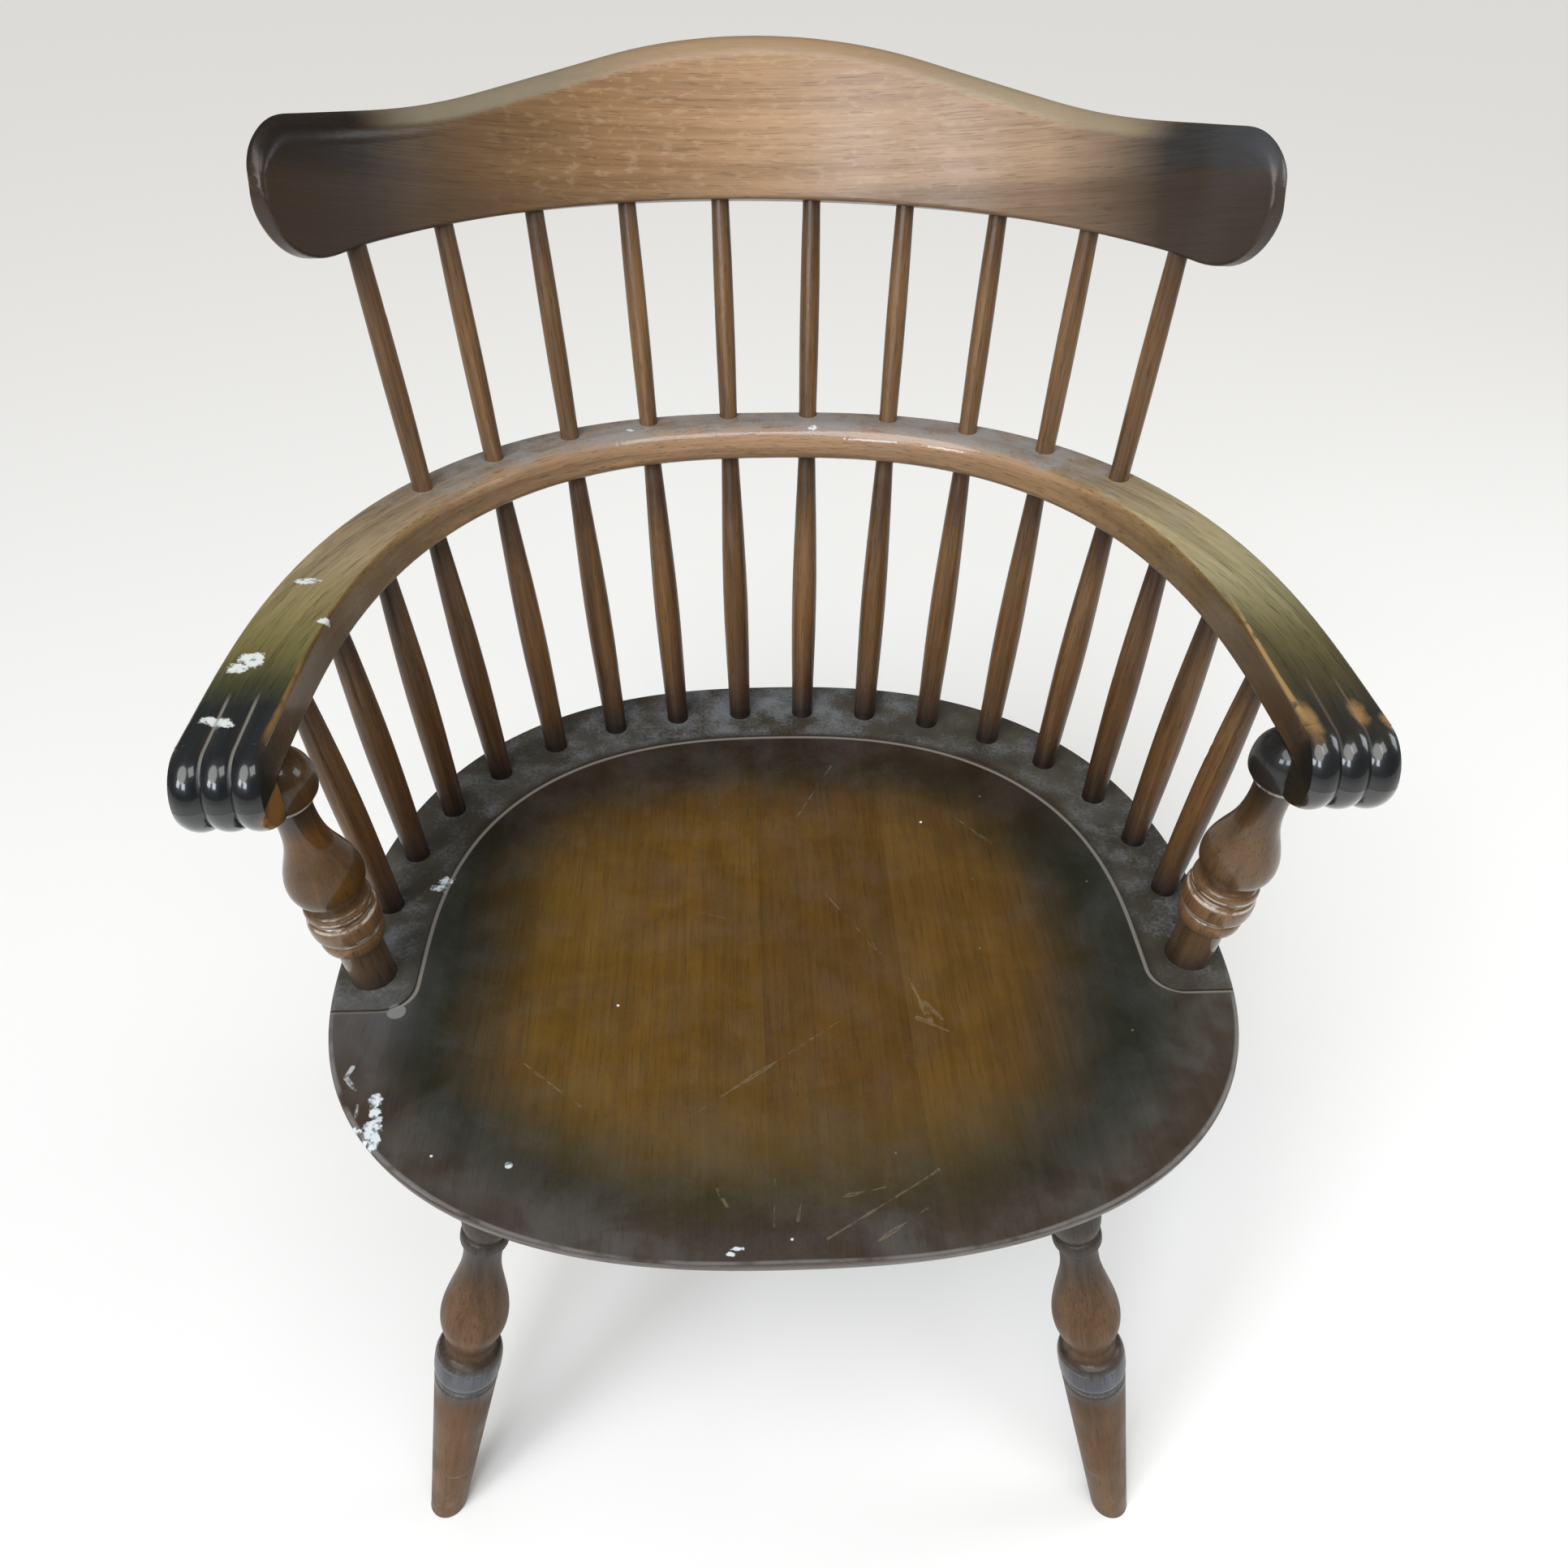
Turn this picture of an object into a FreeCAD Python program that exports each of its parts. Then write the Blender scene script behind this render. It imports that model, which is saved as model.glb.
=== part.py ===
import FreeCAD, Part
import math
import os

from FreeCAD import Rotation, Vector

# A comb-back armchair in turned and bent wood. Millimetres, +Z up, the sitter faces -Y.
# While it is drawn, Y = 0 is the middle of the seat's depth and Z = 0 is the floor.
# The finished chair is then slid along Y, so that the origin is the bottom centre of its box.

# Every curve in plan is an oval of this power: 2 is an ellipse, and higher is squarer.
oval_power = 2.45
oval_samples = 400

# Seat, an edge-glued panel with a dished top
seat_height = 445.0
seat_thickness = 42.0
seat_half_width = 279.0
seat_widest_y = -35.0
seat_front_reach = 216.0
seat_back_reach = 281.0
# The edge as (share of the thickness, inset): undercut below, with a small round on top
seat_edge_steps = ((0.0, 26.0), (0.333, 14.5), (0.524, 8.0), (0.68, 3.4), (0.8, 1.1),
                   (0.895, 0.2), (0.948, 0.1), (0.981, 0.6), (1.0, 2.0))
seat_outline_points = 48
board_width = 90.0
board_seam_x = -15.0
board_count = 6

# Dish and the scribed line round it
dish_depth = 12.0
dish_side_inset = 52.0
dish_back_inset = 66.0
dish_fade = 13.0
dish_front_overrun = 44.0
pommel_rise = 2.2
pommel_half_width = 52.0
dish_columns = 17
scribe_width = 3.0
scribe_depth = 1.6
scribe_turn_y = -63.0
scribe_turn_radius = 20.0

# Spindles
spindle_side_inset = 21.0
spindle_back_inset = 35.0
spindle_pitch = 49.3
long_per_side = 5
short_per_side = 3
spindle_seat_radius = 8.0
spindle_swell_radius = 9.3
spindle_swell_height = 88.0
spindle_bow_radius = 6.4
spindle_crest_radius = 6.2
spindle_upper_swell_radius = 6.9
spindle_straight = 7.0
seat_socket_depth = 22.0
crest_socket_depth = 26.0
short_spindle_top_depth = 14.0
glue_gap = 0.1
socket_end_gap = 1.0

# Arm bow: one bent piece, rounded behind the sitter and flat along the arms
bow_above_seat = 192.0
bow_thickness = 24.6
bow_half_width = 302.0
bow_back_reach = 353.0
bow_straight_y = -60.0
arm_width = 44.5
bow_back_width = 32.0
bow_bends = 22
bow_outer_round = 3.5
arm_inner_round = 2.5
bow_inner_top_round = 14.0
bow_inner_bottom_round = 6.0
short_spindle_first = 60.0
short_spindle_pitch = 63.0

# Knuckle: the scrolled hand grip at the end of each arm
knuckle_y = -96.0
knuckle_lobes = 3
knuckle_lobe_rise = 2.6
knuckle_groove_length = 52.0
knuckle_groove_end = 0.04
cutter_margin = 2.0

# Arm posts
post_seat_x = 255.5
post_seat_y = -52.5
post_arm_inset = 10.5
post_arm_y = -77.0
post_base_radius = 13.7
post_base_height = 39.0
# The three rings from the base upwards, as (width, radius)
post_rings = ((13.0, 19.2), (19.0, 21.2), (9.0, 19.8))
post_ring_groove = 2.4
post_waist_radius = 16.8
post_vase_radius = 22.0
post_vase_height = 97.0
post_neck_radius = 11.0
post_neck_height = 146.0
post_flange_radius = 15.2
post_flange_width = 8.0
post_ball_radius = 19.5
post_ball_drop = 17.0
post_tenon_radius = 6.5
post_tenon_length = 15.0
post_foot_radius = 9.5
post_foot_depth = 20.0
post_foot_sunk = 4.0

# Crest rail: a plank bent to a cylinder that leans back
crest_above_seat = 353.5
crest_y = 335.6
crest_lean = 19.2
crest_tilt = -0.95
crest_radius = 305.3
crest_thickness = 22.0
crest_ear_thickness = 11.0
crest_height = 102.6
crest_hump_radius = 350.0
crest_flank_angle = 18.3
crest_shoulder_radius = 450.0
crest_tip_angle = 8.5
crest_under_radius = 1150.0
crest_ear_reach = 318.0
crest_ear_radius = 38.0
crest_bevel_height = 18.0
crest_bevel_depth = 15.0
crest_back_round = 4.0
crest_under_round = 2.5
crest_hole_first = 32.0
crest_hole_pitch = 65.5
# Sections drawn from the middle to each ear, then round the ear in degrees
crest_steps = 11
crest_ear_turns = (0, 20, 36, 50, 62, 72, 80, 85)

# Legs
leg_front_foot = (250.5, -192.0)
leg_front_top = (167.5, -135.0)
leg_rear_foot = (226.0, 236.0)
leg_rear_top = (160.0, 150.0)
leg_racking = -1.9
leg_foot_radius = 13.0
leg_taper_height = 163.0
leg_taper_radius = 21.8
leg_ring_height = 168.0
leg_ring_width = 25.0
leg_ring_radius = 22.8
leg_groove_depth = 2.2
leg_waist_height = 200.5
leg_waist_radius = 15.5
leg_bulb_height = 230.0
leg_bulb_radius = 22.5
leg_neck_height = 287.0
leg_neck_radius = 12.4
leg_collar_height = 302.5
leg_collar_width = 11.0
leg_collar_radius = 15.8
leg_head_height = 338.0
leg_head_radius = 17.0
leg_top_radius = 13.5
leg_shoulder_drop = 6.0
leg_socket_depth = 30.0

# Stretchers, an H between the legs
stretcher_height = 240.0
stretcher_end_radius = 7.6
stretcher_swell_radius = 12.5
stretcher_ring_radius = 13.6
stretcher_ring_width = 5.0
stretcher_past_axis = 7.0
stretcher_straight = 28.0
cross_end_radius = 6.4
cross_straight = 20.0
cross_past_axis = 3.0

side_signs = {"left": -1, "right": 1}
bow_underside = seat_height + bow_above_seat
bow_top = bow_underside + bow_thickness
seat_underside = seat_height - seat_thickness


def oval(half_x, reach, middle_y, angle):
    """A point on an oval, with angle 0 on the +X side and 90 degrees straight behind."""
    run = math.copysign(abs(math.cos(angle)) ** (2 / oval_power), math.cos(angle))
    rise = math.copysign(abs(math.sin(angle)) ** (2 / oval_power), math.sin(angle))
    return Vector(half_x * run, middle_y + reach * rise, 0)


def along(points, distance):
    """The point at a distance along a chain of points."""
    for near, far in zip(points, points[1:]):
        step = near.distanceToPoint(far)
        if distance <= step:
            return near + (far - near) * (distance / step)
        distance -= step
    return points[-1]


def ring(low, high, low_radius, crown, high_radius):
    """The run of one turned ring between two heights, with steep sides and a gentle crown."""
    rim = 0.15 * (high - low)
    return [(low, low_radius), (low + rim, (low_radius + 3 * crown) / 4), ((low + high) / 2, crown),
            (high - rim, (high_radius + 3 * crown) / 4), (high, high_radius)]


def smooth_edge(points):
    curve = Part.BSplineCurve()
    curve.interpolate(points)
    return curve.toShape()


def line(start, end):
    return Part.LineSegment(start, end).toShape()


def arc(start, middle, end):
    return Part.Arc(start, middle, end).toShape()


def turned(runs, start, towards):
    """A turning on the line from start: each run of (height, radius) is one smooth curve."""
    edges = []
    for run in runs:
        points = [Vector(radius, 0, height) for height, radius in run]
        edges.append(line(*points) if len(points) == 2 else smooth_edge(points))
    first = Vector(0, 0, runs[0][0][0])
    last = Vector(0, 0, runs[-1][-1][0])
    edges.insert(0, line(first, Vector(runs[0][0][1], 0, first.z)))
    edges.append(line(Vector(runs[-1][-1][1], 0, last.z), last))
    edges.append(line(last, first))
    solid = Part.Face(Part.Wire(edges)).revolve(Vector(0, 0, 0), Vector(0, 0, 1), 360)
    return placed(solid, start, towards)


def placed(solid, start, towards):
    turn = Rotation(Vector(0, 0, 1), towards - start)
    solid.Placement = FreeCAD.Placement(start, turn)
    return solid


def socket(start, towards, radius, low, high):
    """The drilled hole for a turning of this radius, between two distances along its line."""
    hole = Part.makeCylinder(radius + glue_gap, high - low, Vector(0, 0, low))
    return placed(hole, start, towards)


def at_height(start, towards, height):
    return start + (towards - start) * ((height - start.z) / (towards.z - start.z))


def mirrored(point, side):
    return Vector(point.x * side_signs[side], point.y, point.z)


def closed_outline(grow, height):
    """The seat's outline in plan, moved out by grow, as one closed curve."""
    points = []
    for step in range(seat_outline_points):
        angle = 2 * math.pi * step / seat_outline_points
        reach = seat_back_reach if math.sin(angle) > 0 else seat_front_reach
        point = oval(seat_half_width + grow, reach + grow, seat_widest_y, angle)
        points.append(Vector(point.x, point.y, height))
    curve = Part.BSplineCurve()
    curve.interpolate(Points=points, PeriodicFlag=True)
    return Part.Wire([curve.toShape()])


def dish_region(grow):
    """A tall block over the dished part of the seat, inside the scribed line moved out by grow."""
    half = seat_half_width - dish_side_inset + grow
    reach = seat_back_reach - dish_back_inset + grow
    beyond = seat_half_width + seat_thickness
    front = seat_widest_y - seat_front_reach - seat_thickness
    radius = scribe_turn_radius - grow
    centre = Vector(half + radius, scribe_turn_y, 0)
    turn_middle = centre - Vector(radius, radius, 0) * math.sqrt(0.5)
    turn_end = centre + Vector(0, -radius, 0)
    back = [oval(half, reach, seat_widest_y, math.pi * step / 24) for step in range(25)]
    halves = []
    for sign in side_signs.values():
        flip = FreeCAD.Matrix()
        flip.scale(sign, 1, 1)
        points = [Vector(half, seat_widest_y, 0), Vector(half, scribe_turn_y, 0), turn_middle,
                  turn_end, Vector(beyond, turn_end.y, 0), Vector(beyond, front, 0)]
        side, start, middle, end, out, low = [flip.multVec(point) for point in points]
        halves.append([line(side, start), arc(start, middle, end), line(end, out), line(out, low)])
    left, right = halves
    closing = line(left[-1].Vertexes[-1].Point, right[-1].Vertexes[-1].Point)
    edges = [smooth_edge(back)] + left + [closing] + right
    face = Part.Face(Part.Wire(Part.sortEdges(edges)[0]))
    face.translate(Vector(0, 0, seat_underside))
    return face.extrude(Vector(0, 0, 2 * seat_thickness))


def dish_floor(x, y):
    """How deep the dish is at a point of the seat."""
    half = seat_half_width - dish_side_inset + dish_fade
    if y > seat_widest_y:
        reach = seat_back_reach - dish_back_inset + dish_fade
    else:
        reach = seat_front_reach + dish_front_overrun
    share = abs(x / half) ** oval_power + abs((y - seat_widest_y) / reach) ** oval_power
    depth = dish_depth * (1 - share ** (2 / oval_power))
    forward = max(0.0, (seat_widest_y - y) / seat_front_reach)
    return depth - pommel_rise * forward ** 2 * math.exp(-(x / pommel_half_width) ** 2)


def dish_cutter():
    half = seat_half_width + seat_thickness
    front = seat_widest_y - seat_front_reach - seat_thickness
    back = seat_widest_y + seat_back_reach
    grid = []
    last = dish_columns - 1
    for column in range(dish_columns):
        x = half * (2 * column / last - 1)
        rows = [front + (back - front) * row / last for row in range(dish_columns)]
        grid.append([Vector(x, y, seat_height - dish_floor(x, y)) for y in rows])
    surface = Part.BSplineSurface()
    surface.interpolate(grid)
    return surface.toShape().extrude(Vector(0, 0, seat_thickness)).common(dish_region(0))


def seat_panel():
    rims = []
    for share, inset in seat_edge_steps:
        rims.append(closed_outline(-inset, seat_underside + share * seat_thickness))
    panel = Part.makeLoft(rims, True, False)
    panel = panel.cut(dish_cutter())
    scribe = dish_region(scribe_width / 2).cut(dish_region(-scribe_width / 2))
    scribe.translate(Vector(0, 0, seat_thickness - scribe_depth))
    return panel.cut(scribe)


def seat_boards(panel):
    """The panel sawn along its glue lines; the outer boards take what is left."""
    beyond = seat_half_width + seat_thickness
    depth = seat_front_reach + seat_back_reach + 2 * seat_thickness
    corner_y = seat_widest_y - seat_front_reach - seat_thickness
    first = board_seam_x - board_width * (board_count // 2 - 1)
    seams = [-beyond] + [first + board_width * board for board in range(board_count - 1)] + [beyond]
    boards = []
    for low, high in zip(seams, seams[1:]):
        block = Part.makeBox(high - low, depth, 2 * seat_thickness, Vector(low, corner_y, seat_underside))
        boards.append(panel.common(block))
    return boards


def seat_holes():
    """Spindle holes on the seat for one side, from the middle of the back forwards."""
    half = seat_half_width - spindle_side_inset
    reach = seat_back_reach - spindle_back_inset
    angles = [math.pi / 2 * (1 - step / oval_samples) for step in range(oval_samples + 1)]
    chain = [oval(half, reach, seat_widest_y, angle) for angle in angles]
    count = long_per_side + short_per_side
    holes = [along(chain, spindle_pitch * (place + 0.5)) for place in range(count)]
    return [Vector(hole.x, hole.y, seat_height) for hole in holes]


def crest_point(distance, height, offset=0.0):
    """A point of the bent crest plank: distance round it, height up it, and offset backwards."""
    lean = math.radians(crest_lean)
    turn = distance / crest_radius
    depth = (crest_radius + offset) * math.cos(turn) - crest_radius
    x = (crest_radius + offset) * math.sin(turn)
    y = crest_y + depth * math.cos(lean) + height * math.sin(lean)
    z = seat_height + crest_above_seat - depth * math.sin(lean) + height * math.cos(lean)
    return Vector(x, y, z + x * math.tan(math.radians(crest_tilt)))


def crest_under(distance):
    return math.sqrt(crest_under_radius ** 2 - distance ** 2) - crest_under_radius


def crest_ear():
    """The middle of the round ear, which the lower edge runs into."""
    slope = math.asin(crest_ear_reach / crest_under_radius)
    distance = crest_ear_reach + crest_ear_radius * math.sin(slope)
    return distance, crest_under(crest_ear_reach) + crest_ear_radius * math.cos(slope)


def crest_over(distance):
    """The height of the top edge, as hump, flank, shoulder and tip."""
    flank = math.radians(crest_flank_angle)
    tip = math.radians(crest_tip_angle)
    hump_end = crest_hump_radius * math.sin(flank)
    hump_low = crest_height - crest_hump_radius * (1 - math.cos(flank))
    ear_distance, ear_height = crest_ear()
    tip_start = ear_distance + crest_ear_radius * math.sin(tip)
    tip_height = ear_height + crest_ear_radius * math.cos(tip)
    rise = hump_low + hump_end * math.tan(flank) - tip_height - tip_start * math.tan(tip)
    corner = rise / (math.tan(flank) - math.tan(tip))
    corner_height = tip_height + (tip_start - corner) * math.tan(tip)
    reach = crest_shoulder_radius * math.tan((flank - tip) / 2)
    bend_start = corner - reach * math.cos(flank)
    bend_end = corner + reach * math.cos(tip)
    centre = bend_start + crest_shoulder_radius * math.sin(flank)
    bend_top = corner_height + reach * math.sin(flank) + crest_shoulder_radius * math.cos(flank)
    if distance <= hump_end:
        return crest_height - crest_hump_radius + math.sqrt(crest_hump_radius ** 2 - distance ** 2)
    if distance <= bend_start:
        return hump_low - (distance - hump_end) * math.tan(flank)
    if distance <= bend_end:
        return bend_top - math.sqrt(crest_shoulder_radius ** 2 - (distance - centre) ** 2)
    if distance <= tip_start:
        return tip_height + (tip_start - distance) * math.tan(tip)
    return ear_height + math.sqrt(crest_ear_radius ** 2 - (distance - ear_distance) ** 2)


def rounded_section(place, low, high, near, far, rounds):
    """A four-sided section: place(across, up) gives a point, and each round is (across, up)."""
    near_low, far_low, far_high, near_high = rounds
    bend = 1 - math.sqrt(0.5)
    corners = ((near, low, 1, 1, near_low), (far, low, -1, 1, far_low),
               (far, high, -1, -1, far_high), (near, high, 1, -1, near_high))
    rounded = []
    for across, up, inward, upward, (width, height) in corners:
        beside = place(across, up + upward * height)
        middle = place(across + inward * width * bend, up + upward * height * bend)
        along_edge = place(across + inward * width, up)
        rounded.append((beside, middle, along_edge))
    first, second, third, fourth = rounded
    return Part.Wire([
        arc(*first), line(first[2], second[2]),
        arc(*reversed(second)), line(second[0], third[0]),
        arc(*third), line(third[2], fourth[2]),
        arc(*reversed(fourth)), line(fourth[0], first[0])])


def crest_section(distance):
    ear_distance, ear_height = crest_ear()
    tip = ear_distance + crest_ear_radius
    reach = abs(distance)
    if reach > ear_distance:
        half = math.sqrt(crest_ear_radius ** 2 - (reach - ear_distance) ** 2)
        low, high = ear_height - half, ear_height + half
    elif reach > crest_ear_reach:
        low = ear_height - math.sqrt(crest_ear_radius ** 2 - (reach - ear_distance) ** 2)
        high = crest_over(reach)
    else:
        low, high = crest_under(reach), crest_over(reach)
    slimming = (crest_thickness - crest_ear_thickness) * (reach / tip) ** 2
    thickness = crest_thickness - slimming
    into = max(0.0, (reach - tip + crest_back_round) / crest_back_round)
    shift = crest_back_round * (1 - math.sqrt(1 - into ** 2))
    near, far = shift - thickness / 2, thickness / 2 - shift
    limit = 0.42 * min(high - low, far - near)
    under = [min(crest_under_round, limit)] * 2
    back = [min(crest_back_round, limit)] * 2
    bevel = (crest_bevel_depth * (far - near) / crest_thickness, min(crest_bevel_height, 0.42 * (high - low)))

    def place(across, up):
        return crest_point(distance, up, across)

    return rounded_section(place, low, high, near, far, (under, under, back, bevel))


def crest_rail():
    ear_distance, _ = crest_ear()
    stations = [ear_distance * step / crest_steps for step in range(crest_steps)]
    for turn in crest_ear_turns:
        stations.append(ear_distance + crest_ear_radius * math.sin(math.radians(turn)))
    ordered = [-station for station in reversed(stations[1:])] + stations
    return Part.makeLoft([crest_section(station) for station in ordered], True, False)


def crest_holes(side):
    holes = []
    for place in range(long_per_side):
        distance = crest_hole_first + crest_hole_pitch * place
        holes.append(crest_point(side_signs[side] * distance, crest_under(distance)))
    return holes


def bow_section(outer, inner, back_share):
    """The bow's section on the upright plane through its outer and inner edges."""
    across = inner - outer
    width = across.Length
    across.normalize()
    inner_bottom = arm_inner_round + (bow_inner_bottom_round - arm_inner_round) * back_share
    inner_top = arm_inner_round + (bow_inner_top_round - arm_inner_round) * back_share
    rounds = [(size, size) for size in (bow_outer_round, inner_bottom, inner_top, bow_outer_round)]

    def place(run, up):
        point = outer + across * run
        return Vector(point.x, point.y, up)

    return rounded_section(place, bow_underside, bow_top, 0, width, rounds)


def bow_edges(angle):
    outer = oval(bow_half_width, bow_back_reach, bow_straight_y, angle)
    inner = oval(bow_half_width - arm_width, bow_back_reach - bow_back_width, bow_straight_y, angle)
    return outer, inner


def bow_middle(distance):
    """A point on the bow's middle line, measured round from where the arm starts to bend."""
    angles = [math.pi / 2 * step / oval_samples for step in range(oval_samples + 1)]
    chain = [sum(bow_edges(angle), Vector()) * 0.5 for angle in angles]
    point = along(chain, distance)
    return Vector(point.x, point.y, bow_underside)


def bent_bow():
    outer_x, inner_x = bow_half_width, bow_half_width - arm_width
    middle_y = (knuckle_y + bow_straight_y) / 2
    sections = []
    for y in (knuckle_y, middle_y):
        sections.append(bow_section(Vector(outer_x, y, 0), Vector(inner_x, y, 0), 0))
    for bend in range(bow_bends + 1):
        angle = math.pi * bend / bow_bends
        outer, inner = bow_edges(angle)
        sections.append(bow_section(outer, inner, math.sin(angle) ** 2))
    for y in (middle_y, knuckle_y):
        sections.append(bow_section(Vector(-outer_x, y, 0), Vector(-inner_x, y, 0), 0))
    return Part.makeLoft(sections, True, False)


def lobe_points():
    """Across the right knuckle: where each lobe starts, has its crest and ends."""
    lobe = arm_width / knuckle_lobes
    inner_x = bow_half_width - arm_width
    starts = [inner_x + lobe * place for place in range(knuckle_lobes)]
    return [(start, start + lobe / 2, start + lobe) for start in starts]


def scroll_quarter(start_angle):
    """A quarter of the right knuckle's scroll, about the line where its top curve has its centre."""
    valley = bow_thickness - knuckle_lobe_rise
    edges = []
    for start, crest, end in lobe_points():
        edges.append(arc(Vector(start, 0, valley), Vector(crest, 0, bow_thickness), Vector(end, 0, valley)))
    first_x, last_x = lobe_points()[0][0], lobe_points()[-1][2]
    edges.append(line(Vector(last_x, 0, valley), Vector(last_x, 0, 0)))
    edges.append(line(Vector(last_x, 0, 0), Vector(first_x, 0, 0)))
    edges.append(line(Vector(first_x, 0, 0), Vector(first_x, 0, valley)))
    face = Part.Face(Part.Wire(edges))
    face.rotate(Vector(0, 0, 0), Vector(1, 0, 0), start_angle)
    quarter = face.revolve(Vector(0, 0, 0), Vector(1, 0, 0), 90)
    quarter.translate(Vector(0, knuckle_y, bow_underside))
    return quarter


def groove_cutters():
    """The valleys between the right knuckle's lobes, which run back along the arm and fade out."""
    lobes = lobe_points()
    cutters = []
    for (_, near_crest, valley_x), (_, far_crest, _) in zip(lobes, lobes[1:]):
        sections = []
        for y, share in ((knuckle_y, 1.0), (knuckle_y + knuckle_groove_length, knuckle_groove_end)):
            half = (far_crest - near_crest) / 2 * share
            deep = bow_top - knuckle_lobe_rise * share
            left = Vector(valley_x - half, y, bow_top)
            low = Vector(valley_x, y, deep)
            right = Vector(valley_x + half, y, bow_top)
            bulge = Vector(0, 0, knuckle_lobe_rise * share / 4)
            up = Vector(0, 0, cutter_margin)
            sections.append(Part.Wire([
                arc(left, (left + low) * 0.5 + bulge, low),
                arc(low, (low + right) * 0.5 + bulge, right),
                line(right, right + up), line(right + up, left + up), line(left + up, left)]))
        cutters.append(Part.makeLoft(sections, True, True))
    return cutters


def flipped(solid):
    return solid.mirror(Vector(0, 0, 0), Vector(1, 0, 0))


def arm_bow():
    bow = bent_bow()
    scroll = scroll_quarter(0)
    for groove in groove_cutters():
        bow = bow.cut(groove).cut(flipped(groove))
    bow = bow.fuse([scroll, flipped(scroll)])
    return bow.removeSplitter()


def post_line(side):
    arm_x = bow_half_width - arm_width + post_arm_inset
    base = mirrored(Vector(post_seat_x, post_seat_y, seat_height), side)
    return base, mirrored(Vector(arm_x, post_arm_y, bow_underside), side)


def arm_post(side):
    base, top = post_line(side)
    length = base.distanceToPoint(top)
    ball = length - post_ball_drop
    flange = ball - post_ball_radius * 0.6
    top_radius = math.sqrt(post_ball_radius ** 2 - post_ball_drop ** 2)
    neck = post_neck_height
    vase = post_vase_height
    runs = [
        [(-post_foot_depth, post_foot_radius), (-post_foot_sunk, post_foot_radius)],
        [(-post_foot_sunk, post_foot_radius), (-post_foot_sunk, post_base_radius)],
        [(-post_foot_sunk, post_base_radius), (post_base_height, post_base_radius)],
    ]
    height, radius = post_base_height, post_base_radius
    for (width, crown), (_, next_crown) in zip(post_rings, post_rings[1:] + post_rings[:1]):
        root = min(crown, next_crown) - post_ring_groove
        runs.append(ring(height, height + width, radius, crown, root))
        height, radius = height + width, root
    runs += [
        [(height, radius), (height + 3, post_waist_radius), ((height + vase) / 2 + 2, post_vase_radius - 1.6),
         (vase, post_vase_radius), (vase + 14, post_vase_radius - 2.4), (vase + 31, post_neck_radius + 2.4),
         (neck, post_neck_radius), (flange - post_flange_width / 2, post_neck_radius + 0.8)],
        ring(flange - post_flange_width / 2, flange + post_flange_width / 2,
             post_neck_radius + 0.8, post_flange_radius, post_flange_radius - 1),
        [(flange + post_flange_width / 2, post_flange_radius - 1),
         (ball - post_ball_radius / 2, post_ball_radius * 0.87), (ball, post_ball_radius),
         (ball + post_ball_radius / 2, post_ball_radius * 0.87), (ball + post_ball_drop, top_radius)],
        [(ball + post_ball_drop, top_radius), (ball + post_ball_drop, post_tenon_radius)],
        [(ball + post_ball_drop, post_tenon_radius), (length + post_tenon_length, post_tenon_radius)],
    ]
    return turned(runs, base, top)


def leg_ends(place):
    """A leg's foot and top, with the four legs racked round together."""
    row, side = place.split("_")
    foot, top = (leg_front_foot, leg_front_top) if row == "front" else (leg_rear_foot, leg_rear_top)
    racked = Rotation(Vector(0, 0, 1), leg_racking)
    foot = mirrored(Vector(*foot, 0), side)
    top = mirrored(Vector(*top, seat_underside), side)
    return racked.multVec(foot), racked.multVec(top)


def leg(place):
    foot, top = leg_ends(place)
    length = foot.distanceToPoint(top)
    ring_top = leg_ring_height + leg_ring_width
    collar_top = leg_collar_height + leg_collar_width
    groove_radius = leg_ring_radius - leg_groove_depth
    collar_foot = leg_neck_radius + 1
    shoulder = length - leg_shoulder_drop
    end = length + leg_socket_depth - socket_end_gap
    runs = [
        [(-leg_foot_radius, leg_foot_radius), (0, leg_foot_radius)],
        [(0, leg_foot_radius), (leg_taper_height, leg_taper_radius)],
        [(leg_taper_height, leg_taper_radius), (leg_ring_height, groove_radius)],
        ring(leg_ring_height, ring_top, groove_radius, leg_ring_radius, groove_radius),
        [(ring_top, groove_radius), (leg_waist_height - 4, leg_waist_radius + 1),
         (leg_waist_height, leg_waist_radius), (leg_waist_height + 5, leg_waist_radius + 1),
         (leg_bulb_height - 12, leg_bulb_radius - 1.6),
         (leg_bulb_height, leg_bulb_radius), (leg_bulb_height + 15, leg_bulb_radius - 1.8),
         (leg_bulb_height + 33, leg_neck_radius + 4), (leg_neck_height - 10, leg_neck_radius + 0.9),
         (leg_neck_height, leg_neck_radius), (leg_collar_height, collar_foot)],
        ring(leg_collar_height, collar_top, collar_foot, leg_collar_radius, collar_foot),
        [(collar_top, collar_foot), (collar_top + 6, leg_head_radius - 1.4),
         (leg_head_height, leg_head_radius), ((leg_head_height + shoulder) / 2, leg_head_radius),
         (shoulder, leg_top_radius)],
        [(shoulder, leg_top_radius), (end, leg_top_radius)],
    ]
    floor_side = 4 * leg_foot_radius
    corner = foot + Vector(-floor_side / 2, -floor_side / 2, -floor_side)
    floor = Part.makeBox(floor_side, floor_side, floor_side, corner)
    return turned(runs, foot, top).cut(floor)


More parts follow.
